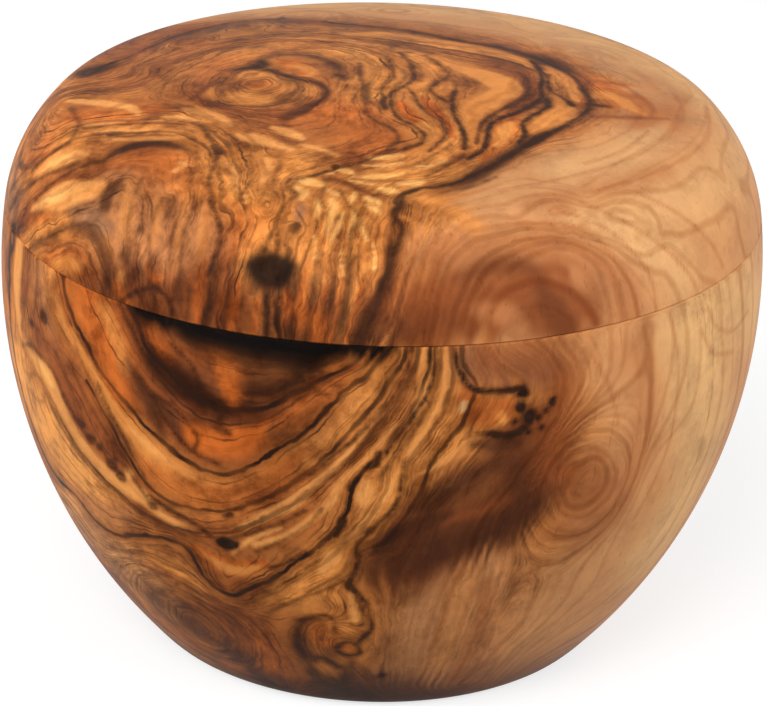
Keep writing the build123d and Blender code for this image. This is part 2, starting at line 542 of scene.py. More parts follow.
# %% Trace the bowl's rings
trace("bowl", on_belly, [
    (8, 0.3, (-30, 2), (-22, 4), (-12, 4), (-5, 2)),
    (9, 0.9, (-38, 0), (-35.5, 3), (-34, 6), (-31, 8), (-28, 10.5), (-24, 12), (-20, 12), (-15, 10.5),
     (-10, 7), (-5, 3.5)),
    (10, 0.9, (-53, 0), (-51.5, 3), (-49, 6), (-45, 10), (-42, 13), (-38, 16), (-33, 19.5), (-27, 23),
     (-24, 23.2), (-20, 22.5), (-17, 20), (-13, 17), (-10, 14), (-7, 10), (-4, 6.5), (-1, 4), (1, 0)),
    (11, 0.1, (-61, 0), (-56, 8), (-50, 12), (-47, 14)),
    (11, 0.8, (-46, 15), (-42, 20), (-39, 25), (-36, 28.5), (-33, 30.5), (-28, 31), (-20, 29), (-13, 24),
     (-8, 19), (-4, 14), (0, 8), (3, 3), (4, 0)),
    (12, 0.1, (-64, 0), (-62, 10), (-59, 19), (-57, 22)),
    (12, 0.6, (-55, 24), (-50, 28.5), (-45, 31.5), (-41, 33.5), (-37, 35.5), (-30, 36), (-22, 33.5),
     (-15, 29), (-9, 24), (-4, 18.5), (-0.5, 13.5), (2.5, 8), (5, 3), (5.5, 0)),
    (13, 0.9, (-72, 0), (-72, 20), (-67, 36), (-62, 39), (-57, 39), (-54, 41.5), (-50, 42.8), (-45, 42.5),
     (-41, 40.5), (-37, 39.5), (-33, 38.8), (-30, 40), (-28.5, 44), (-26.5, 47), (-24, 48), (-20, 45.5),
     (-16, 42.3), (-13, 39.3), (-10, 36.2), (-7, 33), (-5, 29.8), (-3.9, 26), (-3.3, 22.5), (-1, 19),
     (1.2, 16), (3.4, 12.5), (5.3, 8.5), (6.6, 4), (7.2, 0)),
    (14, 0.5, (-18, 46.5), (-14, 43.5), (-9.5, 39), (-5.5, 35), (-2.5, 31), (0, 27), (1.5, 23), (2, 19.5),
     (3.8, 15), (6.5, 10), (8, 5), (8.6, 0)),
    (15, 0.5, (10, 0), (10.2, 5), (9, 10), (6, 15.5), (4.2, 19), (3.9, 23), (2.8, 27), (0.5, 31),
     (-2, 35), (-5, 39.5), (-10, 44), (-16, 49)),
    (16, 0.8, (11.5, 0), (12, 4), (13.5, 6), (12, 12), (8.5, 17), (6.5, 23), (4, 29), (0.5, 34)),
    (17, 0, (0.5, 34), (-2.3, 36), (-2, 40), (-3, 42), (-1, 45), (0, 50), (0, 53), (-1, 58)),
    (19, 0.1, (16, 0), (19, 4), (22, 6), (17, 13), (12, 20), (8, 28), (5, 36), (4, 46), (4, 58), (4, 70)),
    (14, 0.4, (-80, 30), (-72, 44), (-62, 45), (-55, 49), (-47, 47), (-40, 44.5), (-33, 45)),
    (16, 0.2, (-70, 60), (-58, 58), (-50, 52), (-44, 48.5), (-36, 48), (-28, 51), (-22, 53), (-19, 60),
     (-19, 68), (-21, 75)),
    (20, 0, (-35, 60)),
    (15.4, 0, (-7, 49), (-12, 51), (-14.5, 54), (-15, 59), (-13, 64), (-12, 70)),
    (17.4, 0, (-6.5, 52), (-5, 54), (-2, 54)),
    (21, 0, (21, 0), (25, 5), (25, 12), (20, 20), (15, 28), (12, 38), (10, 50), (9, 70)),
    (23, 0, (28, 0), (31, 7), (27, 14), (22, 23), (18, 34), (17, 50), (15, 72)),
    (25, 0.1, (41, 1), (42, 10), (42, 22), (39, 34), (31, 40), (25, 40), (22, 50), (21, 72)),
    (30, 0, (32, 25.5)),
    (23.2, 0, (54, 1), (56, 20), (52, 40), (42, 52), (32, 62), (29, 74)),
    (21.0, 0, (72, 2), (74, 30), (68, 55), (60, 75)),
])
trace("bowl", on_belly, [
    (18, 0.2, *about((-35, 60), 9, 8)),
    (18.0, 0, *about((-4, 57.7), 2.2, 2.0, 8)),
    (27, 0.15, *about((32, 26), 8, 9.5, 12)),
    (29, 0.1, *about((32, 25.5), 3.5, 4.5, 8)),
], closed=True)
print("rings traced on the bowl:", len(rings["bowl"]))

# %% [markdown]
# The rings inside the hollows and round the back aren't drawn one by one. There the log is taken as simple:
# rings about a leaning pith that comes out at the lid's eye. A few points of that log steer the field where
# nothing is traced.

# %% The log behind the tracing
PITH_TOP = np.array([-20.0, -6.0, 92.0])
PITH_LOW = np.array([-12.0, -30.0, 20.0])
PITH_RING = 3.0
PLAIN_RING = 5.2
HIDDEN_ANGLES = range(100, 261, 20)
HIDDEN_DOWN = (4, 20, 36, 52, 68)
HIDDEN_ABOVE = (3, 12, 19)
INSIDE_ANGLES = range(0, 360, 30)
INSIDE_SPOTS = {
    "bowl": ((49, 64), (46, 40), (36, 18), (18, 10), (30, 2)),
    "lid": ((47, 68), (42, 76), (22, 82)),
}


def plain_log(points):
    along = (PITH_LOW - PITH_TOP) / np.linalg.norm(PITH_LOW - PITH_TOP)
    offset = points - PITH_TOP
    across = offset - (offset @ along)[:, None] * along
    return PITH_RING + np.linalg.norm(across, axis=1) / PLAIN_RING


def steer_from_log():
    hidden = {
        "bowl": [on_belly([(degrees, down)]) for degrees in HIDDEN_ANGLES for down in HIDDEN_DOWN],
        "lid": [on_side([(degrees, above)]) for degrees in HIDDEN_ANGLES for above in HIDDEN_ABOVE],
    }
    for piece, places in hidden.items():
        for degrees in INSIDE_ANGLES:
            for radius, height in INSIDE_SPOTS[piece]:
                places.append(round_the_axis(np.array([degrees]), np.array([radius]), np.array([height])))
        for place in places:
            rings[piece].append((float(plain_log(place)[0]), 0.0, place))


steer_from_log()
print("guides with the hidden ones:", {piece: len(lines) for piece, lines in rings.items()})

# %% [markdown]
# The field itself is a multiquadric: one soft cone for every traced point, and a slanting plane, weighed so
# that all of them agree. It is smooth everywhere and costs one set of linear equations. Reading it also
# gives the way in which the rings grow, and with it their spacing.

# %% Fit the ring field
SOFTNESS = 1.6
SLACK = 0.15
EVERY = 7
PLANE_SCALE = 50
BATCH = 1024
INK_REACH = 1.6
INK_MISS = 0.5


def fit_field(lines):
    """Weights of a multiquadric through some points of each line. The ends of a line are always kept."""
    chosen = [(number, np.concatenate([line[:-1:EVERY], line[-1:]])) for number, dark, line in lines]
    spots = np.concatenate([line for number, line in chosen])
    numbers = np.concatenate([np.full(len(line), number) for number, line in chosen])
    apart = ((spots[:, None] - spots) ** 2).sum(-1)
    cones = -np.sqrt(apart + SOFTNESS**2) + SLACK * np.eye(len(spots))
    plane = np.concatenate([np.ones((len(spots), 1)), spots / PLANE_SCALE], axis=1)
    system = np.block([[cones, plane], [plane.T, np.zeros((4, 4))]])
    weights = np.linalg.solve(system, np.concatenate([numbers, np.zeros(4)]))
    return spots.astype(np.float32), weights[:-4].astype(np.float32), weights[-4:]


def read_field(field, places):
    """The ring number at each place, and the direction in which it grows, per millimetre."""
    spots, weights, plane = field
    spot_square = (spots**2).sum(1) + SOFTNESS**2
    number = np.empty(len(places))
    growth = np.empty((len(places), 3))
    for start in range(0, len(places), BATCH):
        here = slice(start, start + BATCH)
        part = places[here].astype(np.float32)
        cone = part @ (-2 * spots.T)
        cone += (part**2).sum(1)[:, None] + spot_square
        np.maximum(cone, 1.0, out=cone)
        np.sqrt(cone, out=cone)
        number[here] = -(cone @ weights) + plane[0] + places[here] @ plane[1:] / PLANE_SCALE
        pull = np.divide(weights, cone, out=cone)
        growth[here] = -(pull.sum(1)[:, None] * part - pull @ spots) + plane[1:] / PLANE_SCALE
    return number, growth


def read_ink(lines, places, number):
    """How dark the traced ring edge is at each place: strong close to a traced line of the same ring."""
    traced = [(ring_number, dark, point) for ring_number, dark, line in lines if dark > 0 for point in line]
    tree = KDTree(len(traced))
    for index, (ring_number, dark, point) in enumerate(traced):
        tree.insert(point, index)
    tree.balance()
    ink = np.zeros(len(places))
    for index, place in enumerate(places):
        spot, found, distance = tree.find(place)
        if distance < 3 * INK_REACH:
            ring_number, dark, point = traced[found]
            miss = (number[index] - ring_number) / INK_MISS
            ink[index] = dark * np.exp(-((distance / INK_REACH) ** 2) / 2 - miss**2)
    return ink


fields = {piece: fit_field(lines) for piece, lines in rings.items()}
print("fields fitted through", {piece: len(field[0]) for piece, field in fields.items()}, "points")

# %% [markdown]
# ## The wood's tones
# Olive heartwood runs from pale straw through honey and russet to a brown that is nearly black. The tones
# are laid on like washes: each is a soft-edged stroke with a colour, a half-width in millimetres and a
# strength. A broad stroke is read a little further along the ring than it is drawn, by an amount that
# changes from ring to ring, and so its edges break up into flames that follow the grain. Quiet areas hold
# the bands of the grain back, lively ones let them out, and marks are cracks, knots and dark lines with a
# clear edge, which needn't follow a ring.

# %% Palette and pens
PALETTE = {
    "gold": tint(255, 188, 108),
    "straw": tint(242, 164, 90),
    "honey": tint(222, 142, 72),
    "amber": tint(182, 98, 44),
    "orange": tint(194, 98, 38),
    "russet": tint(146, 78, 40),
    "chestnut": tint(116, 62, 34),
    "umber": tint(76, 42, 26),
    "soot": tint(14, 10, 9),
    "sienna": tint(168, 96, 52),
    "sap": tint(205, 145, 95),
    "pale sap": tint(224, 174, 118),
    "tan": tint(182, 117, 72),
    "grey brown": tint(134, 94, 70),
}
PALE = ("gold", "straw", "honey", "pale sap")
PALE_CALM = 0.8
STREAK_WIDTH = 1.0
washes = {"lid": [], "bowl": []}
plain_areas = {"lid": [], "bowl": []}
marks = {"lid": [], "bowl": []}


def settle(piece, where, areas):
    """Quiet areas: half-width, strength, edge, then lists of points. A strength below 0 makes one lively."""
    for half_width, strength, edge, *paths in areas:
        for points in paths:
            plain_areas[piece].append((half_width, strength, edge, where(points)))


def lay(piece, where, strokes):
    """Strokes: colour, half-width, strength, edge, then lists of points. A half-width of 0 stands for crisp
    streaks whose points carry their own, and pale streaks are calmer than the wood round them."""
    for colour, half_width, strength, edge, *paths in strokes:
        for points in paths:
            line = where(points)
            washes[piece].append((PALETTE[colour], half_width or STREAK_WIDTH, strength, edge, line))
            if half_width == 0 and colour in PALE:
                plain_areas[piece].append((STREAK_WIDTH, PALE_CALM, edge, line))


def mark(piece, where, lines, closed=False):
    """Marks: half-width, darkness, then lists of points. At a half-width of 0 the points carry their own."""
    for half_width, darkness, *paths in lines:
        for points in paths:
            marks[piece].append((half_width, darkness, where(points, closed)))


def tell(piece, part):
    print(part + ":", len(washes[piece]), "strokes and", len(marks[piece]), "marks on the", piece, "so far")


print(len(PALETTE), "tones")

# %% [markdown]
# ## Painting the lid
# The lid's hidden back is one stretch of plain straight wood. The sapwood in front is settled too, since its
# bands are faint, and the two parts with the strongest figure are made lively. This comes first, so that
# every later stroke lies over it.

# %% The lid's back and its quiet parts
settle("lid", on_side, [(12, 0.8, 10, [(125, 7), (160, 7), (190, 7), (215, 7)])])
settle("lid", on_top, [
    (9, -0.6, 4.0, [(2, -4), (8, -14), (10, -26)]),
    (9, -0.5, 4.0, [(-40, -16), (-30, -26), (-24, -40)]),
    (12, 1.0, 6.0, [(48, 12), (48, -8), (42, -24), (32, -36), (20, -46)]),
    (10, 1.0, 6.0, [(-30, 44), (-5, 40), (15, 34), (32, 26), (44, 12)]),
])
settle("lid", on_side, [(12, 1.0, 6.0, [(14, 6), (35, 8), (60, 8), (90, 8)])])
lay("lid", on_side, [("honey", 12, 0.65, 10, [(125, 7), (160, 7), (190, 7), (215, 7)])])
tell("lid", "the lid's back and its quiet parts")

# %% [markdown]
# The young wood outside the last dark ring is pale and even. Broad washes with wide edges give it, then a
# few paler and browner ones keep it from being flat. A small round figure low on the side has its own darker
# core.

# %% Sapwood of the lid
lay("lid", on_top, [
    ("sap", 13, 1.0, 4, [(50, 12), (50, -8), (43, -24), (34, -36), (24, -46)]),
    ("sap", 11, 1.0, 4, [(-30, 45), (-5, 42), (15, 36), (33, 27), (46, 12)]),
])
lay("lid", on_side, [
    ("sap", 12, 1.0, 5, [(20, 8), (40, 8), (60, 8), (95, 8)]),
    ("sap", 12, 0.9, 12, [(95, 8), (110, 8), (120, 10)]),
])
lay("lid", on_top, [
    ("tan", 2.0, 0.3, 3, [(-28, 36), (-5, 30), (14, 23), (28, 15), (35, 6)]),
    ("pale sap", 6, 0.6, 5, [(-30, 46), (-10, 47), (12, 43), (30, 34), (44, 22), (52, 6)]),
    ("tan", 2.5, 0.7, 4, [(42, 8), (45, 0), (44, -10)]),
])
lay("lid", on_side, [("pale sap", 3, 0.6, 4, [(36, 14), (46, 8), (50, 2)])])
lay("lid", on_top, [
    ("pale sap", 4, 0.5, 5, [(56, 4), (54, -14), (47, -28), (38, -38)]),
    ("pale sap", 2, 0.5, 4, [(26, -34), (36, -26), (40, -18)]),
    ("tan", 2, 0.6, 2, [(22, -44), (34, -36), (42, -28)]),
])
lay("lid", on_side, [
    ("tan", 3, 0.9, 2.5, [(6, 13), (16, 13), (28, 12), (36, 7), (38, 1)]),
    ("russet", 6, 0.95, 3.5, [(4, 5), (14, 6), (22, 6), (28, 3)]),
    ("chestnut", 4, 0.4, 4, [(6, 3), (14, 5), (22, 5), (27, 2)]),
    ("chestnut", 0, 0.85, 1.2, [(23.5, 7, 0.8), (25, 4, 1.8), (26.4, 1.5, 2.0), (27, 0, 1.6)]),
    ("chestnut", 0, 0.75, 1.4, [(11, 9.4, 0.6), (16, 10.4, 1.0), (21, 10.2, 1.2), (24, 8.6, 0.7)]),
    ("chestnut", 0, 0.5, 1.6, [(4, 2, 1.0), (8, 4, 1.2), (13, 2.4, 1.0)]),
    ("tan", 0, 0.7, 1.2, [(14, 5, 0.8), (18, 4, 1.6), (20, 2, 1.2)]),
])
lay("lid", on_top, [("honey", 1.5, 0.7, 1.5, [(5, -45), (8, -47), (13, -50)])])
tell("lid", "sapwood of the lid")

# %% [markdown]
# The heartwood round the eye glows russet and amber. These washes, broad and narrow, set the tone of each
# part before any of its fine bands are drawn.

# %% Heartwood round the eye
lay("lid", on_top, [
    ("russet", 8, 0.75, 4, [(-14, -24), (-6, -22), (-3, -30), (-6, -24)]),
    ("amber", 5, 0.8, 4, [(-7, -20), (-3, -25), (-2, -30)]),
    ("russet", 7, 0.5, 5, [(-40, 2), (-34, -6), (-30, 2)]),
    ("amber", 3, 0.6, 3, [(-28, 8), (-22, 13), (-12, 12)]),
    ("honey", 1.6, 0.7, 2, [(-28, 9), (-22, 12.5), (-16, 12)]),
    ("russet", 8, 0.45, 5, [(-52, -4), (-46, 2), (-38, 10), (-30, 14)]),
    ("chestnut", 3, 0.6, 3, [(-36, 16), (-28, 22), (-18, 22), (-8, 20), (2, 17)]),
    ("umber", 2.4, 0.6, 2, [(-34, 23), (-24, 29), (-12, 27), (0, 22), (10, 17.5)]),
    ("umber", 2.4, 0.7, 2, [(18, 15), (25, 10), (29, 5), (31, 0)]),
    ("chestnut", 3, 0.7, 2, [(10, 8), (17, 6), (21, 3)]),
    ("russet", 3, 0.8, 2, [(10, 0), (11, -6), (9, -12)]),
    ("russet", 2, 0.7, 1.5, [(23, -2), (23, -8), (19, -15), (15, -24), (12, -32), (8, -38)]),
    ("honey", 8, 0.4, 4, [(6, 2), (7, -12), (13, -24)]),
])
tell("lid", "heartwood round the eye")

# %% [markdown]
# To the right of the eye, bright bands run between dark lines like strands of a rope. Each band is a streak
# that swells and tapers, and each dark line is a mark, so both keep clear edges.

# %% Bands right of the eye
lay("lid", on_top, [
    ("honey", 0, 0.95, 0.5, [(8, 6, 0.5), (10.5, 3, 1.5), (14, 0, 2.2), (17.5, -3.2, 2.9),
      (18.7, -6.5, 2.6), (17.3, -9.7, 2.4), (15.4, -13, 2.5), (13.6, -16.3, 2.2), (12.9, -19.8, 1.6),
      (12.8, -23.5, 0.8), (12.9, -28, 0.4)],
     [(25.5, 6.5, 0.8), (27.4, 3, 1.3), (28.7, 0, 1.4), (29.2, -4, 1.2), (29.4, -7, 0.8)],
     [(26.2, -5, 0.6), (26.7, -9, 1.0), (27.6, -11.8, 1.9), (26.8, -14.9, 2.5), (24.7, -18, 2.1),
      (23, -21, 1.1), (22.5, -22.5, 0.5)]),
    ("amber", 0, 0.8, 0.5, [(20, -16, 0.9), (19, -19, 1.6), (18.2, -22, 2.2), (17.7, -25.5, 2.0),
      (16.8, -28.5, 1.5), (15.5, -31.5, 1.2), (14.3, -33.5, 0.6)]),
    ("honey", 0, 0.95, 0.5, [(18.8, -20, 0.8), (18, -22.5, 1.5), (17.2, -25.5, 1.4), (16.8, -28, 0.7)],
     [(9.2, -5.5, 0.5), (9.3, -8, 1.1), (8.8, -10.5, 0.6)]),
    ("orange", 0, 0.95, 0.5, [(5.8, -13, 0.6), (6.8, -16, 1.2), (8, -19, 1.0), (9.6, -22, 0.6),
      (10, -26, 0.5)],
     [(2.3, -15, 0.9), (3, -18, 1.3), (4.5, -21, 1.2)]),
    ("honey", 0, 0.95, 0.5, [(5.5, -22.5, 0.8), (6.9, -24.5, 1.1), (7.3, -27, 1.1), (6.2, -30, 1.0),
      (4, -32.3, 0.8), (1, -34, 0.7)]),
    ("honey", 0, 0.85, 0.9, [(-7, 18.5, 0.8), (0, 18.8, 1.3), (6, 16.5, 1.2), (12, 14.5, 1.2),
      (18, 12, 1.1), (22, 8.5, 0.8)]),
    ("honey", 0, 0.7, 0.5, [(-6, 3, 0.6), (-3.5, 1, 1.0), (-3, -3, 0.8), (-5.5, -7, 0.6)]),
    ("honey", 0, 0.6, 0.5, [(1.5, 5, 0.5), (2.4, 1, 0.8), (2.4, -3, 0.9), (0.2, -7.5, 0.7)]),
    ("honey", 0, 0.7, 0.5, [(5.5, 2, 0.6), (6.8, -2, 0.9), (6, -6, 0.7), (4, -9.5, 0.5)]),
])
mark("lid", on_top, [
    (0.3, 0.8, [(20.5, 2.5), (21.9, -1), (22.2, -5), (21.2, -9.5), (19, -13), (16.8, -16.5), (15, -20),
      (14.1, -24), (13.8, -28)]),
    (0.45, 0.95, [(23, 9), (24.2, 4), (24.4, 0), (24, -4), (24, -8), (22.6, -11.5), (20.4, -15), (17, -19),
      (15.7, -22), (15.3, -26), (14.6, -30), (12.5, -33)]),
    (0.3, 0.9, [(25.4, 3), (25.2, -2), (25.6, -5), (27, -6.5), (28, -8.3), (28.6, -9.5)]),
    (0.6, 0.9, [(28.4, -8.6), (28.7, -9.8)]),
    (0.45, 0.95, [(24.7, -8.5), (24.9, -11.5), (23.3, -14.6), (21.6, -17.5), (20.8, -20), (21.2, -23),
      (20, -26.5)]),
    (0.4, 0.9, [(10.6, -9), (10.1, -13), (10.4, -18), (11.2, -22), (12, -26), (11.8, -30)]),
    (0.3, 0.8, [(6, 7), (8.2, 2.5), (9.7, -2), (8, -5.5), (6.8, -8.5), (7.4, -11), (9.4, -13.5)]),
    (0.32, 0.85, [(2, 8), (3.5, 3), (4.2, -1), (4, -5), (2.4, -8.6), (0.8, -11), (0.7, -15), (1.1, -18),
      (2.2, -21), (4.4, -23.4), (5.8, -26), (5.4, -29), (3, -31)]),
    (0.25, 0.8, [(3.3, -9), (4.4, -12), (5, -15), (6.4, -18.5), (8.4, -21), (9.2, -24), (8.6, -27.5),
      (6.6, -31.5)]),
    (0.25, 0.75, [(0, 6), (0.6, 1), (1, -4), (-0.4, -8), (-0.8, -11), (-0.1, -13)]),
    (0.5, 0.85, [(-0.2, -13), (-0.5, -15), (0, -17.5)]),
    (0.3, 0.7, [(-4.4, 2), (-4.2, -4), (-3.6, -8), (-3.9, -11), (-3.2, -15), (-3, -19), (-1.5, -22),
      (1, -24.5), (2, -28), (0.4, -31.3)]),
    (0.15, 0.6, [(12, -3), (12.8, -6), (12, -9)],
     [(13.6, -4.5), (14, -7), (13, -9.6)]),
    (0.28, 0.9, [(1.5, -31.2), (-0.5, -32.4), (-2, -34.4), (-4.5, -36.4), (-7, -37.4), (-10, -39.4),
      (-13, -40.6)]),
    (0.5, 0.85, [(-7.2, -36.8), (-6.8, -37.2)]),
    (0.2, 0.7, [(10, -29), (7, -33), (4, -36.5)],
     [(12, -32), (9, -36), (6, -39.5)]),
])
tell("lid", "bands right of the eye")

# %% [markdown]
# The darkest line of the lid is a drying crack along the last ring, with a pale tongue of wood beyond it.
# The crack is drawn twice: a wide brown stroke, then a thin mark in the middle that is nearly black.

# %% The crack and the tongue
lay("lid", on_top, [
    ("amber", 4.0, 0.8, 2.4, [(33.5, 2), (36, -1), (38.6, -5), (40.5, -8)]),
    ("tan", 3.0, 0.7, 2.4, [(32, -13), (37, -12), (43, -8)]),
    ("honey", 0, 0.85, 1.0, [(32.4, -4.6, 0.9), (34.6, -2.6, 1.7), (36.8, -4, 1.7), (38.2, -6.6, 1.1),
      (40, -8.4, 0.4)]),
    ("russet", 0, 0.85, 0.6, [(31.4, -13.6, 0.3), (34.4, -12.2, 0.6), (38, -10.8, 0.7), (41.4, -9.4, 0.5),
      (43.8, -8.4, 0.2)]),
    ("russet", 0, 0.75, 0.7, [(37.4, 3.4, 0.3), (39.4, 0, 0.5), (41, -3.4, 0.6), (41.6, -6.4, 0.4),
      (41, -8.6, 0.2)]),
    ("umber", 0, 0.85, 1.0, [(28, -18, 0.4), (25, -21, 0.8), (22.5, -24.5, 1.4), (20, -28.5, 1.3),
      (17.3, -32.5, 1.4), (14, -37, 1.7), (10.4, -40.4, 1.5), (7, -42, 0.9), (4.6, -43, 0.8)]),
    ("umber", 0, 0.85, 0.8, [(4.6, -43, 0.5), (2.6, -45, 0.8), (2.2, -47.4, 1.3), (1.4, -49.6, 0.7),
      (2.6, -52, 0.9), (1.8, -54.6, 0.9), (0.6, -57.4, 0.8)]),
    ("honey", 0, 0.8, 0.6, [(4.8, -45.2, 0.5), (6.4, -45.8, 0.9), (8.4, -46.4, 0.5)]),
    ("honey", 0, 0.8, 0.4, [(2.6, -50.4, 0.2), (3.4, -50.2, 0.3), (4.4, -51, 0.3)]),
])
mark("lid", on_top, [
    (0, 0.85, [(31.4, -8.2, 0.7), (33, -8, 0.5), (35, -7.6, 0.2)]),
    (0, 0.9, [(30.6, 0, 0.35), (31.6, -8, 0.45), (29.6, -14.5, 0.3), (26.2, -20, 0.4), (23, -24.5, 0.8),
      (20.6, -28, 0.5), (18, -32, 0.4), (14.5, -36.4, 0.4), (11, -40.2, 0.35), (7.4, -42.2, 0.3)]),
    (0, 0.8, [(3, -44.6, 0.25), (2.4, -47, 0.4), (1.6, -49.6, 0.3), (2.8, -52, 0.35), (1.6, -55, 0.4)]),
    (0, 0.6, [(16.4, -38, 0.2), (12.6, -41.4, 0.25), (8.4, -43.6, 0.2)]),
])
tell("lid", "the crack and the tongue")

# %% [markdown]
# The eye is a small knot cut across. Dark smoke curls round it and gold shows between. The streaks are short
# and strongly bent, which rings alone couldn't give.

# %% The eye and its smoke
lay("lid", on_top, [
    ("orange", 0, 0.7, 1.0, [(-17, 4, 0.5), (-15.4, 2.4, 1.6), (-13.4, 0, 2.0), (-12.2, -2.6, 1.2)]),
    ("honey", 0, 0.9, 0.8, [(-15.4, 1.4, 0.4), (-13.6, 0.4, 1.0), (-12, -1.6, 1.1), (-11.8, -3.4, 0.5)]),
    ("amber", 3, 0.7, 3, [(-22, -6), (-19, -8)]),
    ("umber", 0, 0.7, 0.9, [(-26, 0.6, 0.3), (-23, 0.8, 0.9), (-21, 3.4, 1.2), (-19, 6, 1.0),
      (-16, 7.2, 0.9), (-12.4, 6, 1.0), (-9.6, 3.4, 1.0), (-8, 0, 0.8), (-7.4, -2.6, 0.7), (-8.6, -5, 0.5)]),
    ("soot", 0, 0.9, 0.8, [(-23.4, 0.6, 0.3), (-21.4, 0.9, 0.8), (-20, 1.6, 1.5), (-19.6, 3, 1.1),
      (-20, 4.4, 0.4)]),
    ("umber", 0, 0.85, 0.7, [(-18.8, -0.4, 0.5), (-16.6, -2.8, 0.7), (-14, -5.2, 0.6), (-11.6, -6.6, 0.4),
      (-9.8, -8.8, 0.4), (-9, -11.4, 0.5), (-9.8, -14.2, 0.6), (-12, -16.8, 1.0), (-13.4, -18.6, 1.5),
      (-15, -20.6, 1.0)]),
    ("umber", 0, 0.7, 0.7, [(-2.6, -7, 0.3), (-3.2, -10, 0.7), (-2.8, -13.6, 0.6), (-1.8, -16, 0.3)],
     [(-8, -3.4, 0.4), (-6.6, -4.6, 0.7), (-6.8, -5.8, 0.4)]),
    ("honey", 0, 0.9, 0.6, [(-27, -7, 0.3), (-27.4, -9.6, 1.0), (-26.4, -12, 0.6)],
     [(-12.4, -7.8, 0.4), (-11.6, -9.8, 0.8), (-11.5, -12, 0.5)],
     [(-22.6, -11.6, 0.4), (-20.4, -12.6, 0.9), (-18, -11.8, 0.4)],
     [(-22.6, -14.2, 0.3), (-20, -15, 0.5), (-17.4, -14, 0.3)]),
])
mark("lid", on_top, [
    (0, 0.7, [(-18.6, -0.6, 0.3), (-16.6, -2.8, 0.4), (-14, -5.2, 0.35), (-11.4, -6.7, 0.25),
      (-9.6, -9, 0.25), (-9.2, -11.8, 0.25), (-10.2, -14.6, 0.25)]),
    (0.25, 0.55, [(-26, -3), (-25.6, -8), (-24.6, -12), (-22.4, -14.8), (-19.6, -16)]),
    (0.15, 0.45, [(-24.4, -6), (-23.8, -10), (-22, -13)]),
    (0.2, 0.5, [(-28.6, -6), (-28.8, -10), (-26.8, -13.4), (-24, -15)]),
    (0.25, 0.6, [(-13.6, -6.4), (-13.8, -9), (-14.6, -12.6), (-16.4, -15.4)]),
    (0.15, 0.45, [(-15, -6.8), (-15.4, -10), (-17, -13)],
     [(-12.8, -8), (-12.9, -12), (-13.8, -15)]),
])
tell("lid", "the eye and its smoke")

# %% [markdown]
# Left of the eye the rings open into gold flecks between thin dark lines. Two broad washes carry the whole
# gold slope, the honey one partly painted sheen over the gold wood, and short straw streaks lie along the
# rings on top of it.

# %% Gold and smoke on the left
lay("lid", on_top, [
    ("amber", 7, 0.7, 5, [(-48, -14), (-38, -18), (-30, -24), (-24, -36), (-22, -46)]),
    # The honey wash is the gold of the wood and also painted sheen on the lid's left shoulder.
    ("honey", 5, 0.75, 3, [(-46, -18), (-38, -20), (-30, -23), (-24, -32), (-20, -42)]),
    ("orange", 2.4, 0.6, 2, [(-47, -12), (-42, -15), (-36, -14)]),
    ("amber", 3.4, 0.7, 1.6, [(-37, -31), (-33, -32), (-32, -35)]),
    ("straw", 0, 0.9, 0.5, [(-49.5, -4.5, 0.5), (-47, -6.4, 1.0), (-44, -8.4, 1.1), (-41, -10.5, 0.9),
      (-38.6, -12.4, 0.4)],
     [(-53.6, -18.8, 0.5), (-50.6, -21, 1.0), (-47.6, -24, 0.7)],
     [(-51.4, -25.4, 0.5), (-47.6, -28.6, 1.0), (-43.6, -32.4, 0.7)],
     [(-34, -17, 0.3), (-31, -18, 0.7), (-28.4, -19.6, 0.5)],
     [(-46, -16.4, 0.3), (-43, -16.8, 0.5), (-40, -17.4, 0.3)],
     [(-12.6, -30, 0.3), (-9.6, -31.6, 0.6), (-7, -33.6, 0.3)],
     [(-41, -10, 0.5), (-39, -12.5, 0.9), (-38, -15, 0.4)],
     [(-31, -14.5, 0.4), (-28, -16.8, 1.0), (-25.5, -19.5, 1.0), (-23.8, -22.5, 0.7)],
     [(-22, -26, 0.8), (-19.5, -27.5, 1.5), (-17, -29.3, 1.2), (-14, -31.5, 0.5)],
     [(-17, -24, 0.5), (-14.5, -26, 1.1), (-12.5, -28, 0.6)],
     [(-31, -36, 0.5), (-29.7, -34.5, 0.6), (-30.4, -33.5, 0.3)],
     [(-44, -19.6, 0.3), (-40, -20.4, 0.5), (-36, -21.6, 0.3)],
     [(-41, -23.4, 0.4), (-36, -24.6, 0.8), (-31, -25.6, 0.5)],
     [(-24, -34, 0.3), (-22, -38, 0.6), (-22, -43, 0.4)],
     [(-18, -33, 0.3), (-17, -37, 0.6), (-18, -41, 0.4)],
     [(-20.5, -42, 0.3), (-20, -46, 0.5)]),
    ("umber", 0, 0.9, 0.8, [(-42, -29, 0.4), (-40.6, -27.8, 0.9), (-38.6, -27, 1.3), (-36.4, -26.2, 1.3),
      (-34, -26.6, 1.1), (-31.6, -28, 0.9), (-29.6, -29.6, 0.4)]),
    ("umber", 0, 0.9, 0.6, [(-37.5, -33, 0.2), (-39, -34.5, 0.5), (-41, -36, 1.2), (-42.5, -37, 0.9)]),
    ("soot", 0, 0.8, 1.6, [(-48, 9, 2.0), (-45.5, 9, 2.2), (-43.5, 9.4, 1.2)]),
])
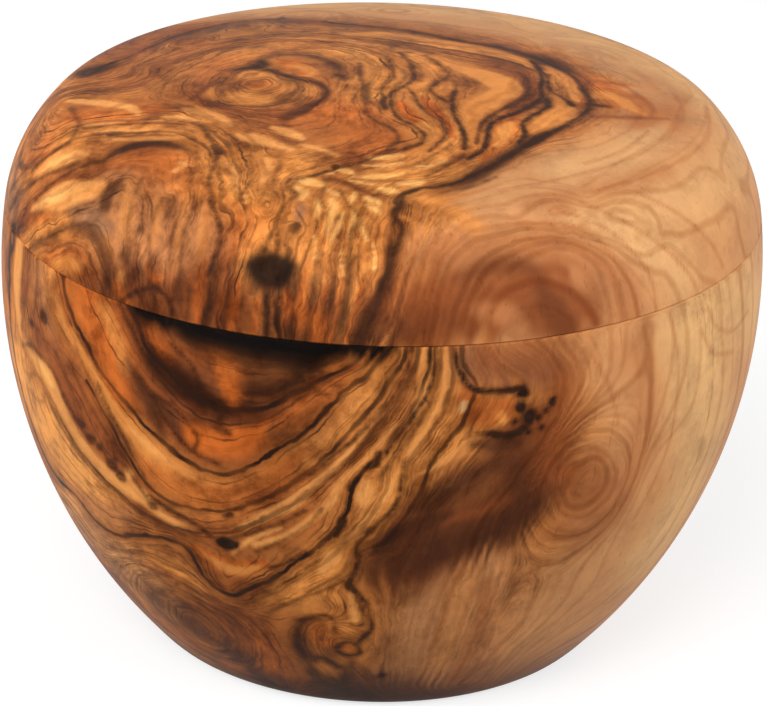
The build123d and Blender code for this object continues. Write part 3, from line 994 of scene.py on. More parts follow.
mark("lid", on_top, [
    (0.4, 0.6, [(-49, -8), (-47.8, -12), (-47, -15.4), (-47.8, -19)]),
    (0.4, 0.7, [(-54, -17), (-51, -18.6), (-48, -20)]),
    (0.2, 0.6, [(-46, -17.4), (-40, -18.2), (-35, -19), (-30, -20.6)]),
    (0.2, 0.55, [(-45, -21.4), (-40, -22.6), (-35, -23.4), (-31, -24.4)]),
    (0.35, 0.65, [(-53, -23.4), (-48.5, -26), (-45, -27.6), (-42.5, -29)]),
    (0.35, 0.75, [(-28, -21.6), (-26.8, -25), (-25.4, -29)]),
    (0.75, 0.75, [(-25.4, -29), (-24.8, -31.4)]),
    (0.35, 0.7, [(-24.8, -31.4), (-25.2, -35), (-25.8, -40), (-24.6, -45)]),
    (0.25, 0.6, [(-23.6, -24.6), (-21.4, -29.4), (-18.4, -32.6), (-14, -34.6)],
     [(-20.4, -33), (-19.6, -37), (-20, -42), (-21.6, -46)]),
    (0.25, 0.55, [(-16, -33.6), (-15.4, -36), (-16.2, -40), (-16, -44)]),
    (0.2, 0.5, [(-28.4, -30), (-28, -35), (-28.6, -41)]),
    (0.35, 0.75, [(-13.6, -40.4), (-14.4, -42), (-13.2, -43.8), (-12.8, -45.2), (-14.2, -47), (-15.2, -50),
      (-15, -53)]),
])
tell("lid", "gold and smoke on the left")

# %% [markdown]
# Between the thin dark line and the last ring lies a burl: gold petals that fan down, with russet clefts
# between. Petals and clefts are all short streaks, placed one by one, because a burl repeats nothing.

# %% The burl
settle("lid", on_top, [(5, 0.35, 3, [(-10, -43), (-5, -45), (0, -42), (6, -37)])])
lay("lid", on_top, [
    ("honey", 5, 0.8, 2.5, [(-10, -43), (-5, -45), (0, -42), (6, -37)]),
    ("amber", 3, 0.5, 2, [(-10, -53), (-5, -55), (-1, -54)]),
])
lay("lid", on_side, [("honey", 4, 0.6, 3, [(-12, 13), (-7, 13), (-3, 13)])])
lay("lid", on_top, [
    ("russet", 0, 0.75, 0.8, [(-8.4, -40.8, 0.6), (-6, -41.6, 1.0), (-3.6, -43.2, 0.9), (-1.6, -45, 0.5)]),
    ("gold", 0, 1.0, 0.4, [(-12.6, -40.7, 0.5), (-11, -41.3, 1.1), (-9.5, -41.9, 1.0)],
     [(-12.6, -43, 0.6), (-11.6, -44.6, 0.8), (-11.8, -46, 0.4)],
     [(-6.8, -37.7, 0.5), (-5.6, -38.2, 0.8), (-4.6, -38.9, 0.4)],
     [(-9.4, -38.9, 0.2), (-7.6, -39.1, 0.35)],
     [(-4.6, -40, 0.3), (-2, -39.9, 0.7), (0.6, -39.5, 0.6), (2.8, -38.6, 0.3)],
     [(2.2, -41.6, 0.5), (4.3, -41.3, 0.9), (5.8, -40.7, 0.5)],
     [(-0.6, -42.9, 0.4), (0.8, -43.6, 0.9), (1.9, -43.9, 0.4)],
     [(-5, -40.9, 0.3), (-3, -41.6, 0.5), (-1.4, -42, 0.3)],
     [(-8.3, -43.6, 0.4), (-7.2, -44.6, 0.7), (-6.6, -45.4, 0.3)],
     [(-4.2, -44.4, 0.3), (-4.5, -46, 0.5), (-4.6, -47.3, 0.3)],
     [(-2.7, -45.7, 0.4), (-1.6, -46.4, 0.8), (-0.6, -47.3, 0.4)],
     [(-2.4, -47.8, 0.3), (-1, -48.8, 0.55), (-0.6, -49.6, 0.3)],
     [(-9.6, -46.6, 0.3), (-9.4, -48.4, 0.5), (-9.6, -50, 0.3)],
     [(-7.6, -46.4, 0.4), (-7.2, -48.4, 0.75), (-7.4, -50.4, 0.5), (-8, -52.4, 0.3)],
     [(-5.6, -49.6, 0.25), (-6.4, -51.6, 0.4), (-7.4, -53.4, 0.25)],
     [(-4.3, -48.8, 0.3), (-4.2, -50.6, 0.4), (-4.6, -53, 0.25)],
     [(-3.3, -50.6, 0.25), (-2.8, -52.4, 0.35), (-2.2, -53.4, 0.25)],
     [(-2, -34.4, 0.4), (0, -34, 0.7), (2.4, -33, 0.4)],
     [(4, -36.6, 0.3), (7, -36, 0.4), (9, -34, 0.3)],
     [(-3, -36.6, 0.3), (-0.4, -36.6, 0.5), (2.6, -35.6, 0.3)],
     [(-9.8, -52.6, 0.2), (-9.6, -54.6, 0.35)],
     [(-5.8, -54.6, 0.2), (-5.6, -56.4, 0.3)],
     [(-1.2, -54, 0.2), (-1, -56, 0.35)]),
    ("grey brown", 0, 0.8, 0.8, [(-12, -47, 0.3), (-12, -49, 0.8), (-12.2, -51, 0.3)]),
])
mark("lid", on_top, [
    (0.2, 0.6, [(-9, -40), (-8.5, -42), (-8.9, -44.5), (-9.1, -46.6), (-8.5, -48.6), (-8.9, -51)]),
    (0.3, 0.6, [(-8, -40.4), (-5.8, -41.4), (-4.2, -43), (-2.6, -44.2), (-1.4, -45.2)]),
    (0.25, 0.65, [(-6.3, -44), (-5.7, -46), (-4.9, -48), (-3.8, -49.4), (-3.1, -51.5)]),
    (0.2, 0.6, [(-3.4, -45), (-3.3, -47), (-2.5, -49), (-1.5, -50.8)]),
    (0.2, 0.5, [(-4.6, -40.5), (-2, -41), (1, -40.8), (3, -40.2)]),
    (0.3, 0.6, [(-0.8, -44.8), (0.8, -45.4)]),
    (0.2, 0.5, [(-10.6, -47), (-10.3, -50), (-10.6, -53)]),
    (0.3, 0.6, [(-9.4, -51.4), (-9, -55)]),
    (0.2, 0.55, [(-6.4, -50), (-6.9, -53), (-6.6, -56)]),
    (0.25, 0.55, [(-3.6, -52), (-3.4, -55)]),
])
tell("lid", "the burl")

# %% [markdown]
# On the side the rings are cut steeply and stand nearly upright. Straw arcs lie at the far left, and thin
# dark lines drop to the seam nearer the front. A tan wash on the left is painted sheen, and the grey brown
# wash beside it is partly the wood's grey brown streaks and partly painted sheen.

# %% The side of the lid
lay("lid", on_side, [
    ("grey brown", 4, 0.7, 3, [(-88, 3), (-80, 4), (-74, 3)]),
    # Painted sheen: a tan wash for the pale glare on the left of the side.
    ("tan", 6, 0.85, 3, [(-48, 12), (-40, 11), (-31, 11)]),
    ("honey", 0, 0.5, 0.8, [(-46, 15.4, 0.4), (-44, 13, 1.2), (-42.4, 10.4, 0.9), (-41.4, 8.6, 0.4)],
     [(-39, 15, 0.3), (-37.4, 12.6, 0.8), (-36.2, 9.6, 0.5)],
     [(-33.4, 15.4, 0.3), (-32.6, 12, 0.7), (-31.8, 9.6, 0.4)],
     [(-29.4, 14.6, 0.5), (-28.4, 12, 1.1), (-27.4, 9.4, 0.6)]),
    ("straw", 0, 0.95, 0.6, [(-69.5, 11, 1.0), (-67, 13, 1.8), (-63.5, 14.6, 1.3), (-60.5, 15.6, 0.7)]),
    ("gold", 0, 0.7, 0.5, [(-68.5, 12, 0.4), (-66.5, 13.2, 0.8), (-64, 14.4, 0.4)]),
    ("straw", 0, 0.95, 0.6, [(-66, 6, 0.5), (-62, 8.5, 1.5), (-58, 10.3, 2.1), (-54, 12.3, 1.9),
      (-51.6, 13.5, 1.1)]),
    ("gold", 0, 0.7, 0.5, [(-64, 7.8, 0.3), (-61, 9.2, 0.9), (-57.5, 11, 0.7), (-54.5, 12.6, 0.4)]),
    ("amber", 0, 0.8, 0.8, [(-69, 3, 0.6), (-64, 5, 0.8), (-60, 6.6, 0.5)]),
    # The wood's grey brown streaks, and painted sheen over them.
    ("grey brown", 1.6, 0.7, 1.4, [(-54, 9), (-50, 9.8), (-46, 9)]),
    ("umber", 0, 0.8, 0.8, [(-64, 0, 0.4), (-61, 2.5, 0.7), (-58, 4.5, 0.9), (-55, 6.5, 0.8),
      (-51, 8, 0.9), (-47, 7.5, 1.0), (-44.5, 5.5, 0.9), (-43, 3, 0.8), (-42.5, 0, 0.7)]),
    ("amber", 0, 0.95, 0.8, [(-57.5, 1, 1.0), (-53, 2, 1.7), (-49, 2.8, 1.8), (-46.4, 2, 1.2)]),
    ("honey", 0, 0.75, 0.8, [(-56, 1, 0.6), (-52.5, 2, 1.2), (-49, 3, 0.9)]),
    ("umber", 0, 0.85, 0.7, [(-48.4, 15, 0.6), (-49, 12.6, 1.3), (-47.8, 11.6, 0.9)]),
    ("umber", 0, 0.7, 0.6, [(-40.2, 12.4, 0.4), (-39.4, 10.6, 0.8)]),
    ("umber", 0, 0.75, 1.2, [(-41, 6.5, 0.7), (-38.4, 5, 1.3), (-38.6, 2, 1.0)]),
    ("russet", 4, 0.7, 3, [(-36, 2), (-30, 4), (-24, 4)]),
    ("amber", 2.6, 0.8, 2, [(-30, 2), (-24, 5), (-20, 3)]),
])
mark("lid", on_side, [
    (0.35, 0.55, [(-76, 2), (-72.4, 6.4), (-67, 10.6), (-61, 14)]),
    (0.4, 0.5, [(-79, 4), (-76, 8), (-73, 12)]),
    (0.8, 0.9, [(-72.8, 0.4), (-71.4, 0.8)]),
    (0.2, 0.5, [(-44.6, 16), (-43, 12.6), (-41.4, 9.6), (-40, 7)],
     [(-42.4, 16), (-40.6, 12.6)]),
    (0.25, 0.5, [(-38.4, 15), (-37.6, 11), (-36.2, 8), (-35, 6)],
     [(-36, 15), (-35.4, 12)]),
    (0.2, 0.45, [(-34.2, 15), (-33.4, 11), (-32.6, 8)]),
    (0.25, 0.6, [(-31.8, 15), (-31.4, 11), (-30.4, 7), (-30.6, 3)]),
    (0.4, 0.85, [(-29.6, 16), (-27, 14.4), (-25.2, 12), (-25.4, 8), (-24.8, 4), (-25.4, 0)]),
    (0.35, 0.8, [(-39.6, 0.4), (-36.8, 2.6), (-34, 3.8), (-31.4, 2.8), (-30.6, 0.6)]),
    (0.25, 0.6, [(-34.4, 3.8), (-33.6, 1.6), (-34.2, 0)],
     [(-28.4, 5), (-28, 2), (-28.4, 0)]),
    (0.2, 0.5, [(-22.6, 11), (-22, 6), (-22.4, 0)],
     [(-20, 7), (-19.6, 3), (-19.8, 0)]),
    (0.4, 0.75, [(-16.8, 16.6), (-17.2, 14), (-18, 11.6)]),
    (0.35, 0.9, [(-16.4, 6), (-15.9, 3), (-15.8, 0)]),
    (0.3, 0.6, [(-12.6, 9), (-12.2, 5), (-12.6, 0)]),
    (0.25, 0.6, [(-9.4, 12), (-9.8, 6), (-10.2, 0)]),
    (0.25, 0.55, [(-7, 9), (-7.2, 4), (-8, 0)]),
    (0.3, 0.65, [(-4.4, 12), (-5, 6), (-6, 0)]),
])
tell("lid", "the side of the lid")

# %% [markdown]
# Low on the side, narrow strands of orange and umber run down to the seam side by side. They lie on one
# chestnut wash, which darkens the whole band.

# %% Strands of the side
lay("lid", on_side, [
    ("chestnut", 4.5, 0.65, 3, [(-44, 2), (-36, 2), (-28, 2), (-20, 2), (-12, 2), (-4, 3), (1, 3)]),
    ("orange", 0, 0.75, 0.6, [(-26.6, 9, 0.3), (-26.8, 5, 0.5), (-26.4, 1, 0.4)],
     [(-21, 8, 0.3), (-20.8, 4, 0.5), (-21.2, 0, 0.4)],
     [(-17.6, 5.4, 0.3), (-17.6, 2, 0.5), (-18, 0, 0.4)],
     [(-13.6, 7, 0.3), (-13.6, 3, 0.5), (-14, 0, 0.4)],
     [(-11, 10, 0.3), (-11, 5, 0.6), (-11.4, 1, 0.4)],
     [(-8, 8, 0.3), (-8.4, 4, 0.6), (-9, 0, 0.4)],
     [(-5.6, 9, 0.3), (-6, 5, 0.4), (-7, 0, 0.4)],
     [(-2.6, 9, 0.3), (-3.4, 5, 0.5), (-4.8, 0.6, 0.3)],
     [(-36, 6, 0.3), (-34.6, 5, 0.5), (-33, 5.4, 0.3)],
     [(-41.6, 3, 0.3), (-40, 1.4, 0.8), (-38.4, 0.6, 0.4)]),
    ("umber", 0, 0.65, 0.8, [(-24.2, 9, 0.4), (-24.4, 4, 0.8), (-24.6, 0, 0.6)],
     [(-30, 7, 0.5), (-29.6, 3, 0.9), (-29.6, 0, 0.5)],
     [(-12.4, 8, 0.3), (-12.4, 3, 0.5), (-12.6, 0, 0.4)],
     [(-9.8, 9, 0.3), (-9.8, 4, 0.5), (-10.2, 0, 0.4)],
     [(-7, 6, 0.3), (-7.4, 3, 0.5), (-8, 0, 0.4)],
     [(-4.4, 13, 0.3), (-4.8, 9, 0.5), (-5, 6, 0.3)],
     [(-44, 6, 0.5), (-42.6, 3.6, 1.0), (-43, 0.6, 0.6)]),
])
tell("lid", "strands of the side")

# %% [markdown]
# The knot in the side is nearly black, with a tail that runs down to the seam. It is a thick soot streak
# with a soft edge, and the pits pressed in further down open inside it.

# %% The knot in the side
lay("lid", on_side, [
    ("soot", 0, 0.96, 1.2, [(-19, 9.6, 1.4), (-17.4, 9.4, 2.6), (-15.8, 9.2, 3.0), (-14.2, 9.8, 1.8),
      (-12.8, 10.2, 0.7)]),
    ("umber", 0, 0.8, 0.8, [(-16.2, 6.6, 0.9), (-16, 4, 0.4), (-15.8, 0, 0.4)]),
    ("umber", 3.5, 0.6, 3, [(-13, 2), (-6, 3), (0, 3)]),
    ("orange", 1.6, 0.6, 1.6, [(-12, 5), (-9, 3), (-8, 0)]),
    ("umber", 0, 0.85, 1.0, [(1.6, 13, 0.9), (1, 10, 0.7), (-0.8, 6, 0.8), (-3, 0, 1.0)]),
])
mark("lid", on_side, [(0, 0.7, [(1.2, 12, 0.4), (0.8, 9, 0.3), (-0.8, 5, 0.4), (-2.8, 0, 0.5)])])
tell("lid", "the knot in the side")

# %% [markdown]
# In the sapwood only fine growth lines show. They are thin sienna strokes that follow its rings.

# %% Growth lines of the lid
lay("lid", on_side, [
    ("sienna", 0.25, 0.5, 0.45, [(52.4, 0.6), (50.6, 4), (47.4, 8), (44, 11), (40, 13.8), (35, 16.2)],
     [(39.4, 0), (38.8, 5), (37, 9), (34, 12.4), (29, 14.6), (22, 15.2)],
     [(36.2, 0), (35.6, 6), (32.8, 10.6), (28, 12.8), (21, 13.4)],
     [(33.4, 2), (32, 7), (28.6, 10.4), (23, 11.6)],
     [(43, 0), (42.6, 5), (40, 10), (35.6, 13.8), (30, 16)],
     [(60, 2), (57.4, 7), (52, 12.4), (47, 15.6)]),
])
lay("lid", on_top, [
    ("sienna", 0.25, 0.5, 0.45, [(45.6, 4), (46.4, -4), (44.6, -12), (40.6, -21), (34.6, -29), (26, -36.4),
      (17, -41.6)],
     [(50.6, 2), (50, -10), (46, -21), (39, -31), (31, -38.6)],
     [(30, -30.4), (36, -24), (40.4, -15)]),
])
tell("lid", "growth lines of the lid")

# %% [markdown]
# ## Painting the bowl
# The back of the bowl is plain straight wood, as on the lid, and two parts of the front are made lively: the
# dark bundle in the middle and the bands left of the bow.

# %% The bowl's back and its lively parts
settle("bowl", on_belly, [
    (30, 0.8, 20, [(130, 38), (160, 38), (190, 38), (215, 38)]),
    (6, -0.9, 4.0, [(-20, 34), (-10, 28), (-2, 18), (4, 6)]),
    (5, -0.7, 4.0, [(-58, 8), (-48, 18), (-42, 26), (-34, 33)]),
])
lay("bowl", on_belly, [("honey", 30, 0.65, 20, [(130, 38), (160, 38), (190, 38), (215, 38)])])
tell("bowl", "the bowl's back and its lively parts")

# %% [markdown]
# The right side is quiet: young wood, its soft swirl, the brown patch and the plain wood below it. Settling
# them keeps the heartwood's strong bands out, and leaves only faint lines.

# %% Quiet sapwood
settle("bowl", on_belly, [
    (14, 1.0, 8, [(40, 6), (46, 20), (44, 40), (40, 60), (40, 78)]),
    (16, 1.0, 8, [(70, 6), (72, 30), (64, 55), (56, 76)]),
    (18, 0.9, 16, [(100, 6), (104, 30), (96, 55), (90, 76)]),
    (8, 0.85, 6, [(16, 2), (24, 4), (32, 8), (36, 20), (32, 32)]),
    (7, 0.75, 5, [(23, 18), (19, 27), (10, 33), (3, 39)]),
    (9, 0.8, 6, [(14, 34), (12, 48), (12, 60), (14, 76)]),
])
tell("bowl", "quiet sapwood")

# %% [markdown]
# The right side is painted with three very broad washes, which carry the same colour round towards the back.
# One soft brown swirl sits in it, with thin growth lines beside it. The pale sap washes are the sapwood's
# tone and also painted light on the right side, and a chestnut wash along the foot is painted shade.

# %% Sapwood of the bowl
lay("bowl", on_belly, [
    ("sap", 16, 1.0, 8, [(44, 4), (46, 20), (44, 40), (40, 60), (38, 78)]),
    ("sap", 18, 1.0, 8, [(72, 4), (76, 30), (66, 55), (56, 78)]),
    ("sap", 18, 0.9, 16, [(100, 4), (104, 30), (96, 55), (90, 78)]),
    # The pale sap washes are the sapwood's own pale tone, and they are also painted light, lighter on the
    # right side.
    ("pale sap", 7, 0.8, 6, [(50, 3), (62, 5), (74, 10)]),
    ("pale sap", 8, 0.9, 6, [(54, 14), (60, 30), (56, 46)]),
    ("sienna", 0.25, 0.45, 0.45, [(40.6, 2), (42.4, 10), (42.6, 20), (40.4, 30), (36, 37)],
     [(38.4, 4), (40, 11), (40.2, 20), (38.4, 28)],
     [(46, 1), (48, 12), (47.6, 24), (44, 36)],
     [(31, 4), (34, 9), (36.4, 16)],
     [(55, 3), (57.6, 7), (63, 9.6), (70, 9)],
     [(53, 6), (57, 11), (64, 13.6)]),
    ("russet", 6, 0.7, 4, [(31, 25), (33, 27)]),
    ("russet", 3, 0.5, 3, [(27, 33), (33, 36), (37, 32)]),
    ("tan", 3, 0.6, 2.5, [(38, 4), (41, 12), (41, 22), (38, 32)]),
    ("tan", 9, 1.0, 5, [(14, 38), (13, 50), (13, 64), (14, 78)]),
    ("sap", 8, 0.55, 5, [(14, 42), (13, 52), (12, 62)]),
    ("honey", 2.2, 0.3, 2.5, [(14, 40), (14.6, 50), (14, 62)]),
    ("russet", 1.2, 0.5, 1.5, [(18, 42), (19, 54), (18, 68)]),
    # Painted shade: a chestnut wash along the foot on the right.
    ("chestnut", 8, 0.6, 8, [(10, 76), (30, 76), (50, 76)]),
])
tell("bowl", "sapwood of the bowl")

# %% [markdown]
# On the left, straw and tan wood wraps the dark bow. Long straw streaks follow its rings, and thin dark
# marks part them. Lower down is a softer brown oval. A grey brown wash down the far left edge is painted
# shade.

# %% Straw and tan on the left
lay("bowl", on_belly, [
    ("honey", 9, 0.8, 5, [(-66, 20), (-60, 32), (-50, 36)]),
    ("tan", 3, 0.8, 2.5, [(-60, 2), (-58, 7), (-56, 12)]),
    # Painted shade: a grey brown wash down the far left edge, where the belly turns from the light.
    ("grey brown", 4, 0.7, 5, [(-86, 0), (-86, 14), (-84, 30)]),
    ("russet", 4, 0.75, 2.5, [(-58, 12), (-52, 14), (-46, 20), (-41, 26)]),
    ("straw", 6, 0.85, 4, [(-68, 24), (-60, 29), (-52, 34)]),
    ("straw", 2.0, 0.8, 2, [(-60, 42), (-66, 45), (-72, 48)]),
    ("sap", 7, 0.75, 4, [(-60, 47), (-52, 50), (-46, 54)]),
    ("tan", 2.2, 0.8, 1.6, [(-56, 39), (-48, 39), (-42, 37.5)]),
    ("chestnut", 7, 0.55, 4, [(-42, 58), (-35, 58), (-30, 62)]),
    ("umber", 2.5, 0.6, 3, [(-38, 61), (-33, 63), (-29, 60)]),
    ("russet", 7, 0.7, 5, [(-24, 52), (-22, 62), (-24, 74)]),
    ("amber", 2.2, 0.6, 2, [(-44, 66), (-38, 69), (-32, 72)]),
    ("amber", 2.4, 0.6, 2, [(-20, 58), (-20, 64), (-22, 68)]),
    ("straw", 0, 0.85, 0.6, [(-68, 0, 1.8), (-68, 6, 1.9), (-67.4, 11, 1.4), (-66, 15, 1.0)],
     [(-65, 15.5, 0.6), (-61, 17, 1.3), (-57, 18, 2.0), (-54.5, 21, 1.6), (-51, 25, 1.5), (-47, 28.5, 1.3),
      (-43, 30.5, 1.4), (-39.5, 31.3, 1.8), (-37, 32, 1.4), (-34.6, 33.8, 0.9), (-31.5, 34.8, 0.8),
      (-28.5, 35.2, 0.4)],
     [(-40, 29.6, 0.6), (-39, 28.2, 0.9)],
     [(-54, 4, 0.4), (-51, 8, 0.6), (-47, 12, 0.4)]),
    ("gold", 0, 0.7, 0.6, [(-62, 16.6, 0.3), (-58.6, 17, 0.8), (-56, 19, 0.7)]),
])
mark("bowl", on_belly, [
    (0.35, 0.45, [(-63.4, 0), (-63.4, 5), (-64.6, 10), (-65.6, 13.6)]),
    (0.25, 0.45, [(-60.6, 0), (-60, 5), (-60.8, 10)]),
    (0.25, 0.4, [(-57.4, 0), (-56.4, 4)]),
    (0.3, 0.65, [(-66, 16.6), (-62, 15), (-58, 15.6), (-55, 16.6), (-52.4, 19.6), (-49.6, 22.6),
      (-47.4, 24.4), (-44.4, 25.6), (-43, 27.4), (-40.8, 26.4), (-38.4, 28.6), (-36.6, 31.2),
      (-34.8, 32.8)]),
    (0.25, 0.5, [(-61, 10.6), (-57.6, 12), (-54, 13), (-51, 16.4), (-48.4, 20)]),
    (0.35, 0.65, [(-58, 21.6), (-55.4, 25), (-51, 28.8), (-47, 31.4), (-43, 33), (-39, 35), (-35.6, 36.5),
      (-30.4, 36.7)]),
    (0.25, 0.7, [(-44, 14.4), (-40.6, 19.6), (-37.8, 24.4), (-36, 28)]),
    (0.25, 0.55, [(-50, 13.4), (-46.6, 18), (-43, 22), (-40, 25.4)]),
    (0.2, 0.5, [(-48.6, 10.6), (-44.4, 15.6), (-40, 21)]),
    (0.35, 0.85, [(-35.4, 31), (-32, 32.6), (-28.4, 33.6), (-25.4, 35.6)]),
    (0.3, 0.35, [(-64.6, 22), (-62, 19.6), (-59, 20), (-58.6, 22.6), (-61.6, 24.4), (-64.4, 23.8)]),
    (0.3, 0.45, [(-45, 46.6), (-42.4, 50), (-40, 47.6), (-37, 51), (-34, 48.4), (-31, 52)]),
    (0.3, 0.4, [(-46, 51), (-42, 54), (-38, 51.6), (-34, 54.6)]),
])
tell("bowl", "straw and tan on the left")

# %% [markdown]
# Inside the bow the wood is mostly dark. Amber and orange break through it in patches, and soot streaks and
# thin marks mottle the rest.

# %% Inside the dark bow
lay("bowl", on_belly, [
    ("amber", 6, 0.9, 3, [(-49, 1), (-44, 7), (-39, 12)]),
    ("orange", 3, 0.7, 3, [(-46, 2), (-42, 7), (-38, 12)]),
    ("honey", 1.3, 0.7, 1.3, [(-43, 2), (-40, 6), (-38, 10)]),
    ("chestnut", 8, 0.8, 4, [(-30, 9), (-22, 12), (-12, 8)]),
    ("russet", 3, 0.8, 2, [(-34, 14), (-27, 19), (-20, 20)]),
    ("orange", 2.6, 0.9, 1.8, [(-25, 18), (-21, 17.5), (-17, 15)]),
    ("orange", 1.6, 0.6, 1.4, [(-23, 3), (-21, 6), (-20, 9.5)]),
    ("orange", 1.6, 0.7, 1.2, [(-33, 3), (-31, 6)]),
    ("amber", 2.4, 0.8, 1.8, [(-12, 12), (-8, 8), (-5, 4)]),
    ("soot", 1.6, 0.7, 1.5, [(-33, 7), (-28, 9.5), (-23, 11.8), (-18, 12)]),
    ("soot", 2.2, 0.7, 2.2, [(-17, 8), (-13, 7), (-10, 4)]),
    ("umber", 0, 0.85, 1.0, [(-35, 12.5, 0.5), (-32, 14, 1.1), (-29.5, 16.5, 1.1), (-28.6, 19, 0.5)]),
    ("umber", 0, 0.8, 1.0, [(-37.5, 9, 0.5), (-35, 12.8, 1.3), (-33, 16.4, 1.3), (-31.8, 19.4, 0.5)]),
    ("soot", 0, 0.6, 1.0, [(-37.5, 3, 0.5), (-35.5, 6.5, 0.9), (-32.5, 9.5, 1.2), (-29, 11.4, 1.1),
      (-25, 12.6, 0.6)]),
    ("soot", 0, 0.6, 1.2, [(-31, 6, 0.5), (-27.6, 8.6, 1.3), (-24.4, 10, 0.9), (-23, 12, 0.5)]),
    ("russet", 0, 0.75, 1.0, [(-33.6, 2, 0.5), (-30.6, 3.6, 1.3), (-27, 5, 1.4), (-24.6, 4.6, 0.8)]),
    ("orange", 0, 0.7, 1.0, [(-22.6, 6, 0.6), (-21, 9, 1.0), (-20.4, 11, 0.6)]),
    ("umber", 0, 0.5, 1.2, [(-16, 17, 0.5), (-12, 13.6, 0.8), (-8, 9.4, 0.5)]),
    ("umber", 0, 0.7, 0.9, [(-22, 14.4, 0.4), (-18, 13.6, 0.8), (-14, 11, 0.6)]),
    ("umber", 0, 0.6, 1.0, [(-14, 25, 0.4), (-17, 26, 1.0), (-20, 26, 0.5)]),
    ("umber", 0.6, 0.7, 0.6, [(-30, 11), (-30, 17)]),
    ("umber", 0.6, 0.6, 0.6, [(-22, 12), (-23.5, 15), (-21.5, 16)]),
])
mark("bowl", on_belly, [
    (0.25, 0.75, [(-40, 0), (-37.6, 3), (-34.6, 6.6), (-31, 9.6), (-27, 11.4)],
     [(-38, 0), (-35.6, 3.4), (-33, 6), (-30, 7.6)],
     [(-36.4, 10), (-33, 12.6), (-29.6, 14), (-26, 17.6), (-26.6, 20)],
     [(-33.4, 13), (-30.6, 17), (-27, 20.4), (-23, 21.6)],
     [(-30, 4), (-27, 6.4), (-25.4, 9.4)],
     [(-18.6, 9), (-15, 8.4), (-11, 6)],
     [(-21, 12), (-22.6, 14.6), (-21, 16)],
     [(-13, 3), (-9.6, 6.4), (-6.6, 8)],
     [(-9, 3.6), (-5.4, 6.4)]),
])
tell("bowl", "inside the dark bow")

# %% [markdown]
# Under the bow, orange and honey bands follow its curve and gather into the steep bundle in the middle. The
# bundle's strands are only about a millimetre wide, so each of them is a streak or a mark of its own.

# %% Bands under the bow
lay("bowl", on_belly, [
    ("amber", 3, 0.8, 2, [(-34, 27), (-26, 28), (-18, 26), (-12, 21)]),
    ("honey", 0, 0.95, 0.6, [(-49.5, 7.6, 0.5), (-45.6, 12, 0.9), (-40.6, 17.6, 1.2), (-35.6, 21.4, 1.6),
      (-31, 23.2, 0.9), (-27, 25, 0.5)]),
    ("straw", 0, 0.7, 0.5, [(-38, 19.8, 0.4), (-34.6, 21.8, 0.8), (-31.6, 23, 0.4)]),
    ("orange", 0, 0.8, 0.8, [(-28.5, 39, 0.7), (-25, 41, 1.8), (-21, 41, 1.6), (-17, 39, 0.7)]),
    ("honey", 0, 0.9, 0.6, [(-27, 40, 0.5), (-24, 41.6, 1.1), (-21, 41.6, 0.9), (-18, 40, 0.4)]),
    ("honey", 3.0, 0.7, 2, [(-4.5, 37), (-7, 41), (-12, 45)]),
    ("russet", 5, 0.3, 3, [(5, 4), (0, 14), (-6, 22), (-14, 29)]),
    ("straw", 0, 0.85, 0.4, [(6.3, 0, 0.9), (6.4, 4, 1.0), (6, 8, 0.8), (5, 11, 0.4)],
     [(9, 0, 0.7), (9.4, 4, 0.7), (8.8, 8, 0.5), (7.3, 11.5, 0.5), (5.6, 15, 0.7), (4.6, 17.5, 0.4)],
     [(-1.4, 22, 0.9), (-1.6, 24, 1.3), (-1.7, 25.3, 0.7)],
     [(0.5, 10, 0.3), (-2, 14, 0.4), (-5, 18.5, 0.5), (-8.5, 22.5, 0.6), (-12, 26.5, 1.1), (-16, 29.5, 0.8),
      (-20, 32.5, 0.5)],
     [(2.6, 12, 0.3), (-0.8, 17, 0.35), (-4.6, 21.5, 0.5), (-6.4, 25.5, 0.7), (-9.5, 29.5, 0.6),
      (-13.5, 33, 0.5), (-18, 35.5, 0.5)],
     [(6.3, 20.2, 0.3), (9, 18.5, 0.6), (11.5, 17, 0.8), (13.2, 15.2, 0.6)],
     [(-3.6, 43, 0.3), (-3.2, 45.5, 0.5), (-2.9, 48, 0.75), (-2.8, 50, 0.6)],
     [(3, 20, 0.3), (1.6, 24, 0.5), (-1, 28.5, 0.5), (-3.5, 32.5, 0.4)],
     [(-6, 36, 1.2), (-7.5, 39, 1.0)],
     [(-14, 31.5, 0.3), (-18, 34, 0.5), (-22, 38, 0.3)]),
])
